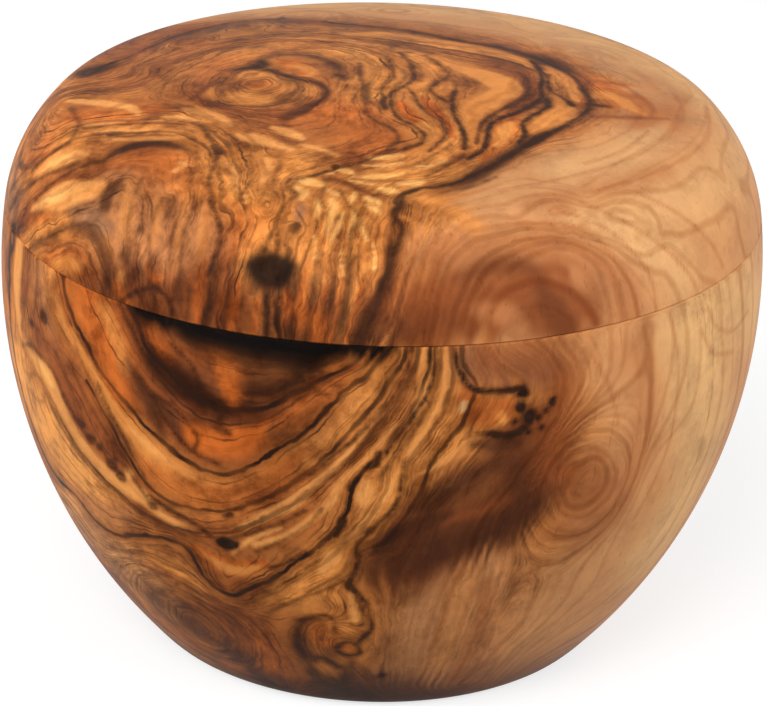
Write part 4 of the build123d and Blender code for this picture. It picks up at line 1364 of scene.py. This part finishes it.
mark("bowl", on_belly, [
    (0.2, 0.85, [(4.6, 0), (3.4, 5), (1, 9.4), (-2.2, 13.6), (-6, 17.6), (-10, 21.6), (-15, 25.5),
      (-20, 28.4)]),
    (0.15, 0.7, [(5, 3), (3, 9), (0, 13.4), (-3, 17), (-6.5, 20.6), (-10, 24.4)],
     [(-4, 7), (-9, 12.4), (-14, 17)]),
    (0.3, 0.95, [(7.9, 0), (7.3, 6), (4.9, 10.6), (2.4, 14.8), (0.7, 17.8), (-2, 20.3), (-3.6, 23),
      (-3.7, 26), (-5, 29), (-6, 31.5), (-9, 35), (-13, 38), (-16, 40)]),
    (0.65, 0.95, [(0.4, 17), (0, 18.6)]),
    (0.75, 0.95, [(-4.6, 29), (-5.6, 31.4)]),
    (0.2, 0.8, [(7.6, 8), (6, 11.4), (3.6, 15.6), (2, 18.4), (0.8, 20.6)]),
    (0.35, 0.9, [(4, 18), (3.6, 22), (3.2, 25), (1.6, 27.7), (-0.8, 31), (-2.6, 34), (-2.2, 36.6),
      (-3.2, 40)]),
    (0.2, 0.8, [(-10, 27.6), (-14, 30.6), (-19, 33.6), (-22, 35)]),
    (0.18, 0.7, [(-7.6, 27), (-10, 30.5), (-14, 34), (-18, 37)]),
    (0.2, 0.75, [(-8, 36.6), (-12, 41), (-16, 44.4), (-20, 47)]),
    (0.18, 0.7, [(-4.4, 40.6), (-8, 43.4), (-12, 46), (-17, 50)]),
])
tell("bowl", "bands under the bow")

# %% [markdown]
# Right of the bundle is an open knot with small pits, and a dark brown patch hangs below it. The patch is
# built of overlapping chestnut and umber strokes, and each pit is a round mark that is quite black.

# %% The pitted knot and its brown patch
lay("bowl", on_belly, [
    ("tan", 4, 0.85, 2.5, [(14, 2), (20, 3), (27, 3)]),
    ("grey brown", 2.4, 0.6, 2, [(13, 3), (18, 4.6), (24, 5)]),
    ("russet", 3, 0.6, 2.5, [(15, 3), (22, 4), (27, 6)]),
    ("chestnut", 7, 0.95, 4, [(22, 16), (22, 22), (18, 28), (10, 32), (5, 37)]),
    ("umber", 4, 0.45, 3, [(22, 20), (18, 28), (10, 33), (5, 37)]),
    ("chestnut", 3, 0.8, 2, [(14, 19), (9, 24), (5, 28)]),
    ("russet", 1.0, 0.5, 1.0, [(19, 26), (14, 28), (10, 28.6)]),
    ("umber", 3.4, 0.6, 2.5, [(9, 33), (4, 35), (1, 38)]),
    ("umber", 0, 0.55, 1.6, [(24, 24, 0.6), (22, 28, 1.6), (18, 31, 1.4), (14, 33, 0.6)]),
    ("umber", 0, 0.6, 1.6, [(16, 18, 0.6), (19, 20, 1.8), (21, 23, 1.2)]),
    ("umber", 0, 0.6, 1.4, [(17, 19, 0.6), (14, 22, 1.8), (10, 25, 1.4), (6, 27, 0.6)]),
    ("umber", 0, 0.9, 1.0, [(11, 27.5, 0.6), (7.5, 29, 1.6), (3.5, 31, 1.5), (0.5, 34.5, 1.0)]),
    ("umber", 0, 0.9, 0.9, [(13.5, 15.6, 0.7), (17, 16, 1.4), (20, 16, 0.9)]),
    ("umber", 0, 0.7, 1.2, [(14, 20, 1.0), (10, 23, 1.4), (6, 26, 0.8)]),
    ("umber", 3.4, 0.75, 2.5, [(24, 26), (20, 31), (14, 33), (8, 36)]),
    ("russet", 3, 0.7, 3, [(27, 10), (27, 16), (26, 22)]),
    ("amber", 0, 0.95, 0.9, [(12, 8, 1.2), (14.5, 10.5, 2.4), (18, 10.5, 1.8)]),
    ("honey", 0, 1.0, 0.4, [(17.4, 11.2, 0.6), (17.7, 12.2, 0.6)]),
    ("pale sap", 0, 1.0, 0.35, [(11.9, 8.9, 0.5), (11.8, 9.8, 0.6)]),
])
mark("bowl", on_belly, [
    (0, 0.95, [(10.4, 0, 0.25), (11.2, 4, 0.35), (13.4, 6.8, 0.45), (16.4, 7.4, 0.45), (20.4, 7.4, 0.6)],
     [(13.6, 13.8, 0.2), (16, 14.2, 0.55), (19, 14.7, 0.6), (21, 14, 0.5)]),
    (0.9, 1.0, [(20.5, 8.2)],
     [(20.2, 10.4)]),
    (1.1, 1.0, [(21.6, 12.2)]),
    (0.5, 1.0, [(23, 12.6)]),
    (0.65, 1.0, [(25.1, 10.2)]),
    (0.4, 1.0, [(24.1, 11.4)],
     [(23.4, 14)],
     [(21.4, 14.6)],
     [(19.3, 12.6)]),
])
tell("bowl", "the pitted knot and its brown patch")

# %% [markdown]
# Just under the seam the bow is black. Low down, smoke, small curls and short cracks cross the plain wood,
# and umber washes along the foot are painted shade, darker towards the bottom.

# %% Black under the seam and low marks
lay("bowl", on_belly, [
    ("soot", 2.0, 1.0, 1.4, [(-36, 0), (-28, 0.4), (-18, 0.8), (-8, 0.6), (1, 0)]),
    ("soot", 2.4, 0.9, 1.6, [(-27, 1.2), (-18, 2), (-9, 1.8)]),
    ("umber", 4, 0.5, 3, [(-10, 56), (-8, 64), (-6, 70)]),
    ("amber", 2.2, 0.7, 1.4, [(-9, 53), (-8.4, 56)]),
    ("soot", 0, 0.65, 1.1, [(-8.6, 50.2, 0.3), (-11, 51.2, 0.6), (-12.6, 53.2, 0.8), (-13.3, 56, 1.1),
      (-13.1, 58.6, 1.4), (-12.6, 61, 1.0), (-12, 64, 0.6), (-12.3, 67, 0.8)]),
    ("honey", 0, 0.8, 0.4, [(-7.2, 51, 0.2), (-6.9, 53, 0.35), (-7.3, 54.6, 0.2)]),
    ("honey", 0, 0.6, 0.8, [(-9.8, 63.5, 0.8), (-8.4, 65, 1.2), (-7.6, 66.6, 0.7)]),
    ("orange", 0, 0.9, 0.5, [(-4.2, 57.4, 0.4), (-3.4, 58, 0.7)]),
    ("honey", 0, 0.85, 0.4, [(-1.8, 57, 0.3), (-0.9, 58.8, 0.5), (-1.3, 60.4, 0.3)]),
    ("umber", 0, 0.75, 0.9, [(-3.4, 61, 0.5), (-3.8, 64, 0.9), (-3.6, 67.4, 0.7)]),
    ("umber", 0, 0.9, 0.8, [(1.6, 66.4, 0.5), (2.6, 65.6, 0.9)]),
    ("soot", 4, 0.85, 3, [(-9, 71), (-7, 75), (-4, 79)]),
    # Painted shade: a strong umber wash low in the middle, where the belly turns down from the light.
    ("umber", 6, 0.9, 5, [(-12, 76), (4, 75), (16, 77)]),
    ("umber", 4, 0.6, 4, [(0, 68), (6, 72)]),
    ("soot", 2.4, 0.7, 2.5, [(-29, 65), (-26, 70), (-24, 77)]),
    # Painted shade: an umber wash all along the foot, darker towards the bottom.
    ("umber", 5, 0.7, 5, [(-60, 78), (-30, 78), (0, 79), (30, 79), (60, 79)]),
])
mark("bowl", on_belly, [
    (0, 1.0, [(-24, 36.6, 0.7), (-22.8, 36.5, 1.3), (-21.4, 36.2, 0.7)]),
    (0, 0.8, [(-22.6, 31.2, 0.3), (-21.6, 30.4, 0.6)],
     [(-6.5, 53.4, 0.2), (-6.3, 50.6, 0.2), (-7.4, 49.2, 0.35), (-9.4, 49.7, 0.3), (-12.2, 51, 0.3)]),
    (0, 0.6, [(-12.8, 53.6, 0.3), (-13.4, 56.4, 0.5), (-13.2, 59, 0.5), (-12.6, 61.4, 0.3)]),
    (0, 0.85, [(-6.3, 57.6, 0.7), (-5.2, 56.2, 0.4), (-3.6, 55.8, 0.3), (-2.5, 56.8, 0.35),
      (-1.9, 58, 0.3), (-2.6, 59.3, 0.35), (-4.6, 59.6, 0.35), (-6, 58.8, 0.6)]),
    (0, 0.8, [(-10.4, 61.2, 0.3), (-8.8, 61.1, 0.35), (-7.4, 62.4, 0.5), (-6.2, 63.6, 0.5)]),
    (0, 0.7, [(-5.4, 63.2, 0.2), (-5, 66, 0.3), (-5.6, 69, 0.4)]),
    (0, 0.9, [(-3.2, 40, 0.35), (-3.7, 41.9, 0.7), (-2.2, 43.6, 0.4), (-0.9, 46, 0.3), (-0.2, 49, 0.3),
      (0, 52, 0.35), (-1.6, 54.6, 0.4), (-2.4, 56, 0.3)]),
    (0, 0.8, [(-2.6, 43.4, 0.2), (-1.9, 46, 0.2), (-1.3, 49, 0.25), (-1.7, 51, 0.25), (-3.2, 51.2, 0.2)]),
])
tell("bowl", "black under the seam and low marks")

# %% [markdown]
# Pin knots are small brown dots, each in a dark ring. One loop draws all of them.

# %% Pin knots
PIN_KNOTS = (
    ((-57.5, 8.4), 1.0), ((-48.4, 22.8), 0.6), ((-46.6, 24.8), 0.8), ((-44.8, 25.6), 0.6), ((-42.6, 28), 0.9),
    ((-41, 29.4), 0.8), ((-35.4, 32.8), 0.7), ((-61.5, 11), 0.5),
)
for spot, size in PIN_KNOTS:
    lay("bowl", on_belly, [("umber", size, 0.7, 0.6, [spot])])
    mark("bowl", on_belly, [(0.22, 0.8, about(spot, size, size * 0.7, 8))], closed=True)
tell("bowl", "pin knots")

# %% [markdown]
# ## Laying the washes
# The ground under the washes changes from ring to ring. It comes from a sum of slow waves, which is as even
# as noise and needs no seed of its own beyond the one given here. Each stroke then covers it with its own
# soft edge.

# %% Waves and strokes
WAVES = 7
WAVE_LEVEL = 3.2
MARK_REACH = 4.0


def ripples(values, pace, seed):
    """A smooth wandering value between about -1 and 1. values is (n,) or (n, 3)."""
    luck = np.random.default_rng(seed)
    values = values[:, None] if values.ndim == 1 else values
    total = np.zeros(len(values))
    for wave in range(WAVES):
        way = luck.normal(size=values.shape[1])
        way = way / np.linalg.norm(way) * pace * luck.uniform(0.5, 1.8)
        total += np.sin(values @ way + luck.uniform(0, 6.28))
    return total / WAVE_LEVEL


def step_between(low, high, value):
    share = np.clip((value - low) / (high - low), 0, 1)
    return share * share * (3 - 2 * share)


def outside(places, half_width, line, reach):
    """Millimetres outside a stroke's edge for each place, below 0 within it, and reach at the most."""
    spots = line[:, :3]
    widths = line[:, 3] if line.shape[1] > 3 else half_width
    away = np.full(len(places), float(reach))
    margin = reach + np.max(widths)
    close = np.all((places > spots.min(0) - margin) & (places < spots.max(0) + margin), axis=1)
    near = places[close]
    if len(near):
        apart = (near**2).sum(1)[:, None] + (spots**2).sum(1) - 2 * near @ spots.T
        away[close] = np.minimum((np.sqrt(np.maximum(apart, 0)) - widths).min(1), reach)
    return away


def cover(places, half_width, edge, line):
    """How strongly a stroke covers each place, from 0 to 1."""
    return 1 - step_between(-min(edge, half_width), edge, outside(places, half_width, line, edge))


def read_marks(places, node):
    """Millimetres outside the nearest mark's edge, below 0 inside it, and how dark that mark is."""
    nearest = np.full(len(places), MARK_REACH)
    darkness = np.zeros(len(places))
    for half_width, dark, line in marks[node]:
        away = outside(places, half_width, line, MARK_REACH)
        closer = away < nearest
        nearest[closer] = away[closer]
        darkness[closer] = dark
    return nearest, darkness


print("strokes ready:", {node: len(strokes) for node, strokes in washes.items()})

# %% [markdown]
# ## Pits
# Where a knot opens, the wood has small pits, a few tenths of a millimetre deep. The skin is fine enough to
# be pressed in there. A soft bell shape keeps their rims round, as wear and oil do on the real bowl.

# %% Pits
PIT_SHARPNESS = 1.6
# Where each pit opens, its radius and its depth.
PITS = {
    "bowl": (
        (on_belly, (20.2, 9), 1.3, 0.7), (on_belly, (21.8, 11.6), 1.0, 0.6),
        (on_belly, (20.8, 13.6), 0.9, 0.5), (on_belly, (23.0, 12.6), 0.7, 0.5),
        (on_belly, (24.2, 8.6), 0.6, 0.4), (on_belly, (25.4, 10.1), 0.8, 0.5),
        (on_belly, (-57.5, 8.4), 0.8, 0.4), (on_belly, (-22.8, 36.5), 1.1, 0.5),
        (on_belly, (-41.2, 29.2), 0.7, 0.3), (on_belly, (-46, 24.8), 0.7, 0.3),
        (on_belly, (2.2, 65.6), 0.6, 0.3),
    ),
    "lid": (
        (on_side, (-17.2, 9), 2.0, 0.6), (on_side, (-15.2, 8), 0.9, 0.5), (on_top, (-7.5, -37.5), 0.7, 0.4),
    ),
}


def press_pits(places, normals, node):
    for where, centre, size, deep in PITS[node]:
        away = np.linalg.norm(places - where([centre]), axis=1)
        places = places - normals * (deep * np.exp(-((away / size) ** 2) * PIT_SHARPNESS))[:, None]
    return places


print("pits:", {node: len(spots) for node, spots in PITS.items()})

# %% [markdown]
# ## Painting the skins
# Every vertex now takes what is known at its place: its ring number, how tightly the rings lie, how dark the
# ring's edge is, how calm the wood is, the nearest mark, and its tone. Stored on the mesh, these cost
# nothing to render and move with the piece.

# %% Paint both pieces
GROUND_SHARE = 0.56
CHANGE_BY_RING = 0.38
CHANGE_BY_PLACE = 0.30
FLAME_BY_RING = 1.6
FLAME_BY_PLACE = 0.5
SLOPE_LIMITS = (0.06, 1.5)


def ground_tone(places, number):
    light = np.array(PALETTE["honey"])
    deep = np.array(PALETTE["russet"])
    by_ring = CHANGE_BY_RING * ripples(number, 2.2, 3)
    by_place = CHANGE_BY_PLACE * ripples(places, 0.09, 5)
    share = np.clip(GROUND_SHARE + by_ring + by_place, 0, 1)[:, None]
    return light * share + deep * (1 - share)


def read_vectors(mesh, name):
    values = np.empty(len(mesh.vertices) * 3, dtype=np.float32)
    mesh.vertices.foreach_get(name, values)
    return values.reshape(-1, 3).astype(float)


def store(mesh, **layers):
    for name, values in layers.items():
        layer = mesh.attributes.new(name, "FLOAT", "POINT")
        layer.data.foreach_set("value", values.astype(np.float32))


def washed_tone(places, along, flame, number, node):
    """The ground with every stroke laid over it in turn."""
    colour = ground_tone(places, number)
    for pigment, half_width, strength, edge, line in washes[node]:
        read_at = places + along * (flame * np.clip(half_width / 2 - 0.5, 0, 1))[:, None]
        share = (strength * cover(read_at, half_width, edge, line))[:, None]
        colour = colour * (1 - share) + np.array(pigment) * share
    return colour


def calmness(places, node):
    calm = np.zeros(len(places))
    for half_width, strength, edge, line in plain_areas[node]:
        share = strength * cover(places, half_width, edge, line)
        calm = np.maximum(calm, share) if strength > 0 else calm + share
    return calm


def paint(piece, node):
    mesh = piece.data
    places = read_vectors(mesh, "co") / MM
    normals = read_vectors(mesh, "normal")
    number, growth = read_field(fields[node], places)
    across = growth - (growth * normals).sum(1)[:, None] * normals
    slope = np.linalg.norm(across, axis=1)
    along = np.cross(normals, across) / np.maximum(slope, 1e-6)[:, None]
    flame = ripples(number, 9.0, 11) * FLAME_BY_RING + ripples(places, 0.6, 12) * FLAME_BY_PLACE
    colour = washed_tone(places, along, flame, number, node)
    ink = read_ink(rings[node], places, number)
    nearest, darkness = read_marks(places, node)
    store(mesh, ring=number, slope=np.clip(slope, *SLOPE_LIMITS), ink=ink, calm=calmness(places, node))
    store(mesh, mark=nearest, mark_ink=darkness)
    tones = mesh.attributes.new("tone", "FLOAT_COLOR", "POINT")
    tones.data.foreach_set("color", np.concatenate([colour, np.ones((len(colour), 1))], axis=1).ravel())
    pressed = press_pits(places, normals, node) * MM
    mesh.vertices.foreach_set("co", pressed.astype(np.float32).ravel())
    mesh.update()
    return number, slope


for node, piece in pieces.items():
    number, slope = paint(piece, node)
    print(node, "rings from", round(float(number.min()), 1), "to", round(float(number.max()), 1),
          "about", round(float(1 / np.median(slope)), 1), "mm apart")

# %% [markdown]
# ## Node groups for the grain
# The meshes now carry the slow things: ring number, spacing, ink and tone. The fine things are drawn by
# nodes, at any sharpness. The first group turns the ring number into thin dark edges. It lets the number
# wander by fractions of a millimetre, finds the nearest whole ring, and draws a line whose width and
# darkness change from ring to ring.

# %% Helpers for groups
def new_group(name, inputs, outputs):
    """A group whose inputs are given as name and default, with None for a vector. All outputs are numbers."""
    group = bpy.data.node_groups.new(name, "ShaderNodeTree")
    for label, value in inputs.items():
        kind = "NodeSocketVector" if value is None else "NodeSocketFloat"
        socket = group.interface.new_socket(label, in_out="INPUT", socket_type=kind)
        if value is not None:
            socket.default_value = value
    for label in outputs:
        group.interface.new_socket(label, in_out="OUTPUT", socket_type="NodeSocketFloat")
    source = group.nodes.new("NodeGroupInput").outputs
    target = group.nodes.new("NodeGroupOutput").inputs
    return group, source, target


def noise(tree, position, size_mm, detail=2.0, rough=0.5, ring_number=None):
    """Noise centred on 0, about -1 to 1. size_mm is how far apart its lumps are."""
    settings = {"Vector": position, "Scale": 1.0 / size_mm, "Detail": detail, "Roughness": rough}
    kind = "3D"
    if ring_number is not None:
        settings["W"] = ring_number
        kind = "4D"
    made = add_node(tree, "ShaderNodeTexNoise", settings, noise_dimensions=kind)
    return times_plus(tree, made.outputs["Fac"], 4.0, -2.0)


def fade(tree, value, start, end):
    """1 up to start, falling smoothly to 0 at end."""
    made = add_node(
        tree, "ShaderNodeMapRange",
        {"Value": value, "From Min": start, "From Max": end, "To Min": 1.0, "To Max": 0.0},
        interpolation_type="SMOOTHSTEP",
    )
    return made.outputs[0]


def nearest_edge(tree, number, slope, per_ring):
    """Millimetres to the nearest of per_ring edges in each ring, and that edge's luck from 0 to 1."""
    many = times(tree, number, per_ring)
    whole = work_out(tree, "ROUND", many)
    off = work_out(tree, "ABSOLUTE", work_out(tree, "SUBTRACT", many, whole))
    away = work_out(tree, "DIVIDE", off, times(tree, slope, per_ring))
    luck = add_node(tree, "ShaderNodeTexWhiteNoise", {"W": whole}, noise_dimensions="1D").outputs["Value"]
    return away, luck


print("group helpers ready")

# %% Group: ring edges
BROAD_WANDER = 5.0
FINE_WANDER = 1.7
UNEVEN_WIDTH = 4.0
UNEVEN_INK = 6.0
RAGGED = 1.8
# Edges in each ring, their share of the full width, and their strength.
LOOSE_EDGES = ((1.0, 0.6, 0.7), (2.7, 0.5, 0.9), (6.1, 0.36, 0.8))


def wandering(group, source):
    """The ring number, shifted by fractions of a millimetre. It wanders least where the wood is calm."""
    position, slope = source["Position"], source["Slope"]
    steady = times_plus(group, fade(group, source["Calm"], 0.8, 1.0), 0.75, 0.25)
    wander = times(group, source["Wander"], steady)
    broad = times(group, noise(group, position, BROAD_WANDER), wander)
    fine = times(group, noise(group, position, FINE_WANDER), times(group, wander, 0.3))
    drift = times(group, work_out(group, "ADD", broad, fine), slope)
    return work_out(group, "ADD", source["Ring"], drift)


def traced_edges(group, source, number, width):
    """The dark edges of the traced rings and the shade beside them."""
    away = nearest_edge(group, number, source["Slope"], 1.0)[0]
    firm = times_plus(group, noise(group, source["Position"], UNEVEN_INK, 1.0), 0.4, 0.95)
    firm = times(group, firm, source["Ink"])
    traced = times(group, fade(group, away, times(group, width, 0.3), width), firm)
    halo = fade(group, away, 0.0, times(group, source["Width"], 4.0))
    return traced, times(group, halo, times(group, source["Ink"], 0.5))


def cracks(group, source):
    """The marks, with ragged edges, and the smoky shade beside them."""
    ragged = times_plus(group, noise(group, source["Position"], RAGGED, 3.0, 0.6), 0.24, source["Mark"])
    crack = times(group, fade(group, ragged, -0.35, 0.5), source["Mark Ink"])
    smoke = times(group, fade(group, ragged, 0.0, 1.2), times(group, source["Mark Ink"], 0.45))
    return crack, smoke


def loose_edges(group, source, number, width):
    """Edges that nobody traced, at three spacings, in patches. There are none where the wood is calm."""
    loose = 0.0
    for per_ring, share, strength in LOOSE_EDGES:
        away, luck = nearest_edge(group, number, source["Slope"], per_ring)
        line = fade(group, away, times(group, width, share * 0.3), times(group, width, share))
        lumps = noise(group, source["Position"], 4.0 + 4.0 / per_ring, 1.0)
        patchy = times_plus(group, lumps, 0.6, 0.55, clamp=True)
        chance = times(group, work_out(group, "POWER", luck, 1.2), strength)
        loose = work_out(group, "MAXIMUM", loose, times(group, line, times(group, chance, patchy)))
    return times(group, loose, work_out(group, "SUBTRACT", 1.0, source["Calm"]), clamp=True)


def growth_lines(group, source, number):
    """The faint lines of calm wood, two to a ring."""
    away, luck = nearest_edge(group, number, source["Slope"], 2.0)
    growth = fade(group, away, 0.1, times_plus(group, luck, 0.9, 0.4))
    growth = times(group, growth, times_plus(group, luck, 0.7, 0.1))
    return times(group, growth, source["Calm"], clamp=True)


def ring_edge_group():
    inputs = {
        "Position": None, "Ring": 0.0, "Slope": 0.3, "Ink": 0.0, "Calm": 0.0, "Wander": 0.5, "Width": 0.6,
        "Mark": MARK_REACH, "Mark Ink": 0.0,
    }
    group, source, target = new_group("ring edges", inputs, ("Edge", "Halo", "Ring", "Growth"))
    number = wandering(group, source)
    uneven = times_plus(group, noise(group, source["Position"], UNEVEN_WIDTH), 0.4, 0.85)
    width = times(group, source["Width"], uneven)
    traced, halo = traced_edges(group, source, number, width)
    crack, smoke = cracks(group, source)
    drawn = work_out(group, "MAXIMUM", traced, crack)
    loose = loose_edges(group, source, number, width)
    group.links.new(work_out(group, "MAXIMUM", drawn, loose, clamp=True), target["Edge"])
    group.links.new(work_out(group, "MAXIMUM", halo, smoke), target["Halo"])
    group.links.new(growth_lines(group, source, number), target["Growth"])
    group.links.new(number, target["Ring"])
    return group


ring_edges = ring_edge_group()
print("group:", ring_edges.name, "with", len(ring_edges.nodes), "nodes")

# %% [markdown]
# The second group is the grain itself. Its noise is four-dimensional: three slow directions are the place in
# the wood, and the fourth is the ring number, which runs fast. The lumps of such noise are stretched along
# the rings into streaks, however the rings bend. Upright pores are added the same way, by squeezing the
# place instead.

# %% Group: grain
BAND_SIZE = 12.0
STREAK_SIZE = 8.0
FLECK_SIZE = 2.6
PORE_SIZE = 0.75
PORE_SQUEEZE = (1.0, 1.0, 0.10)


def limit(tree, value):
    """Hold a value between -1 and 1."""
    return work_out(tree, "MAXIMUM", work_out(tree, "MINIMUM", value, 1.0), -1.0)


def grain_group():
    outputs = ("Bands", "Streaks", "Pores", "Flecks")
    group, source, target = new_group("olive grain", {"Position": None, "Ring": 0.0}, outputs)
    position, number = source["Position"], source["Ring"]
    bands = noise(group, position, BAND_SIZE, 3.0, 0.55, times(group, number, 2.0))
    streaks = noise(group, position, STREAK_SIZE, 5.0, 0.72, times(group, number, 8.0))
    flecks = noise(group, position, FLECK_SIZE, 3.0, 0.6, times(group, number, 3.0))
    upright = add_node(group, "ShaderNodeMapping", {"Vector": position, "Scale": PORE_SQUEEZE})
    pore = noise(group, upright.outputs[0], PORE_SIZE, 2.0, 0.6)
    pore = add_node(group, "ShaderNodeMapRange", {"Value": pore, "From Min": 0.45, "From Max": 0.95})
    for name, value, contrast in (("Bands", bands, 1.3), ("Streaks", streaks, 1.9), ("Flecks", flecks, 1.6)):
        group.links.new(limit(group, times(group, value, contrast)), target[name])
    group.links.new(pore.outputs[0], target["Pores"])
    return group


grain = grain_group()
print("group:", grain.name, "with", len(grain.nodes), "nodes")

# %% [markdown]
# ## The oiled wood
# Both pieces come from the same sort of blank and share one recipe, with their own values. The tone from the
# washes is lightened and darkened by the bands, flecks and streaks, then the ring edges are inked in. Oil
# fills the pores and leaves a low sheen. A faint relief lets the light catch the grain.

# %% Materials
INK = tint(42, 25, 17) + (1.0,)
UNCHANGED = (1.0, 1.0, 1.0)
GLOSS = 0.03
RELIEF = 0.05 * MM


def attribute(tree, name):
    return add_node(tree, "ShaderNodeAttribute", attribute_name=name).outputs


def shade(tree, colour, amount, dark, light=UNCHANGED):
    """Multiply a colour towards dark where amount is below 0, and towards light where it is above."""
    down = times(tree, amount, -1.0, clamp=True)
    up = times(tree, amount, 1.0, clamp=True)
    for share, by in ((down, dark), (up, light)):
        inputs = {"Factor": share, 6: colour, 7: by + (1.0,)}
        mix = add_node(tree, "ShaderNodeMix", inputs, data_type="RGBA", blend_type="MULTIPLY")
        colour = mix.outputs[2]
    return colour


def wood_lines(tree, position, wander, width):
    """The ring edges, fed with what the mesh carries."""
    labels = ("Ring", "Slope", "Ink", "Calm", "Mark", "Mark Ink")
    inputs = {label: attribute(tree, label.lower().replace(" ", "_"))["Fac"] for label in labels}
    lines = add_node(tree, "ShaderNodeGroup", node_tree=ring_edges)
    for label, value in inputs.items():
        tree.links.new(value, lines.inputs[label])
    tree.links.new(position, lines.inputs["Position"])
    lines.inputs["Wander"].default_value = wander
    lines.inputs["Width"].default_value = width
    return lines.outputs


def oiled_wood(name, wander, width, streak_strength, fleck_strength):
    material = bpy.data.materials.new(name)
    tree = empty_tree(material)
    place = {0: add_node(tree, "ShaderNodeTexCoord").outputs["Object"], "Scale": 1 / MM}
    position = add_node(tree, "ShaderNodeVectorMath", place, operation="SCALE").outputs[0]
    lines = wood_lines(tree, position, wander, width)
    fibres = add_node(tree, "ShaderNodeGroup", node_tree=grain)
    tree.links.new(position, fibres.inputs["Position"])
    tree.links.new(lines["Ring"], fibres.inputs["Ring"])
    fibres = fibres.outputs
    calm = attribute(tree, "calm")["Fac"]
    quick = times(tree, attribute(tree, "slope")["Fac"], 5.0, clamp=True)
    active = times(tree, times_plus(tree, calm, -0.78, 1.0), quick)
    half_active = times_plus(tree, calm, -0.68, 1.0)
    colour = attribute(tree, "tone")["Color"]
    for layer, strength, where, dark, light in (
        ("Bands", 0.9, active, (0.42, 0.33, 0.26), (1.38, 1.36, 1.25)),
        ("Flecks", fleck_strength, active, (0.45, 0.36, 0.30), (1.45, 1.50, 1.45)),
        ("Streaks", streak_strength, half_active, (0.40, 0.32, 0.26), (1.32, 1.30, 1.22)),
    ):
        amount = times(tree, times(tree, fibres[layer], strength), where)
        colour = shade(tree, colour, amount, dark, light)
    for layer, strength, dark in (
        (lines["Halo"], -1.0, (0.42, 0.32, 0.25)),
        (lines["Growth"], -0.9, (0.66, 0.50, 0.38)),
        (fibres["Pores"], -0.35, (0.5, 0.42, 0.36)),
    ):
        colour = shade(tree, colour, times(tree, layer, strength), dark)
    inputs = {"Factor": lines["Edge"], 6: colour, 7: INK}
    inked = add_node(tree, "ShaderNodeMix", inputs, data_type="RGBA").outputs[2]
    dull = times_plus(tree, fibres["Streaks"], 0.04, 0.46)
    relief = times_plus(tree, lines["Edge"], -0.6, times(tree, fibres["Pores"], -0.8))
    bump = add_node(tree, "ShaderNodeBump", {"Height": relief, "Strength": 0.35, "Distance": RELIEF})
    surface = add_node(
        tree, "ShaderNodeBsdfPrincipled",
        {"Base Color": inked, "Roughness": dull, "Normal": bump.outputs[0], "Specular IOR Level": GLOSS},
    )
    add_node(tree, "ShaderNodeOutputMaterial", {"Surface": surface.outputs[0]})
    return material


pieces["lid"].data.materials.append(oiled_wood("lid_olive_wood", 0.7, 0.8, 0.75, 0.6))
pieces["bowl"].data.materials.append(oiled_wood("bowl_olive_wood", 0.45, 0.75, 0.75, 0.45))
print("materials:", [m.name for m in bpy.data.materials])

# %% [markdown]
# ## Putting the pieces in the frame
# Each skin replaces the solid that it was read from and rides on the same body, so the lid lifts off
# with its figure and its spigot.

# %% Join the frame
for node, piece in pieces.items():
    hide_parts(node)
    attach(piece, node)
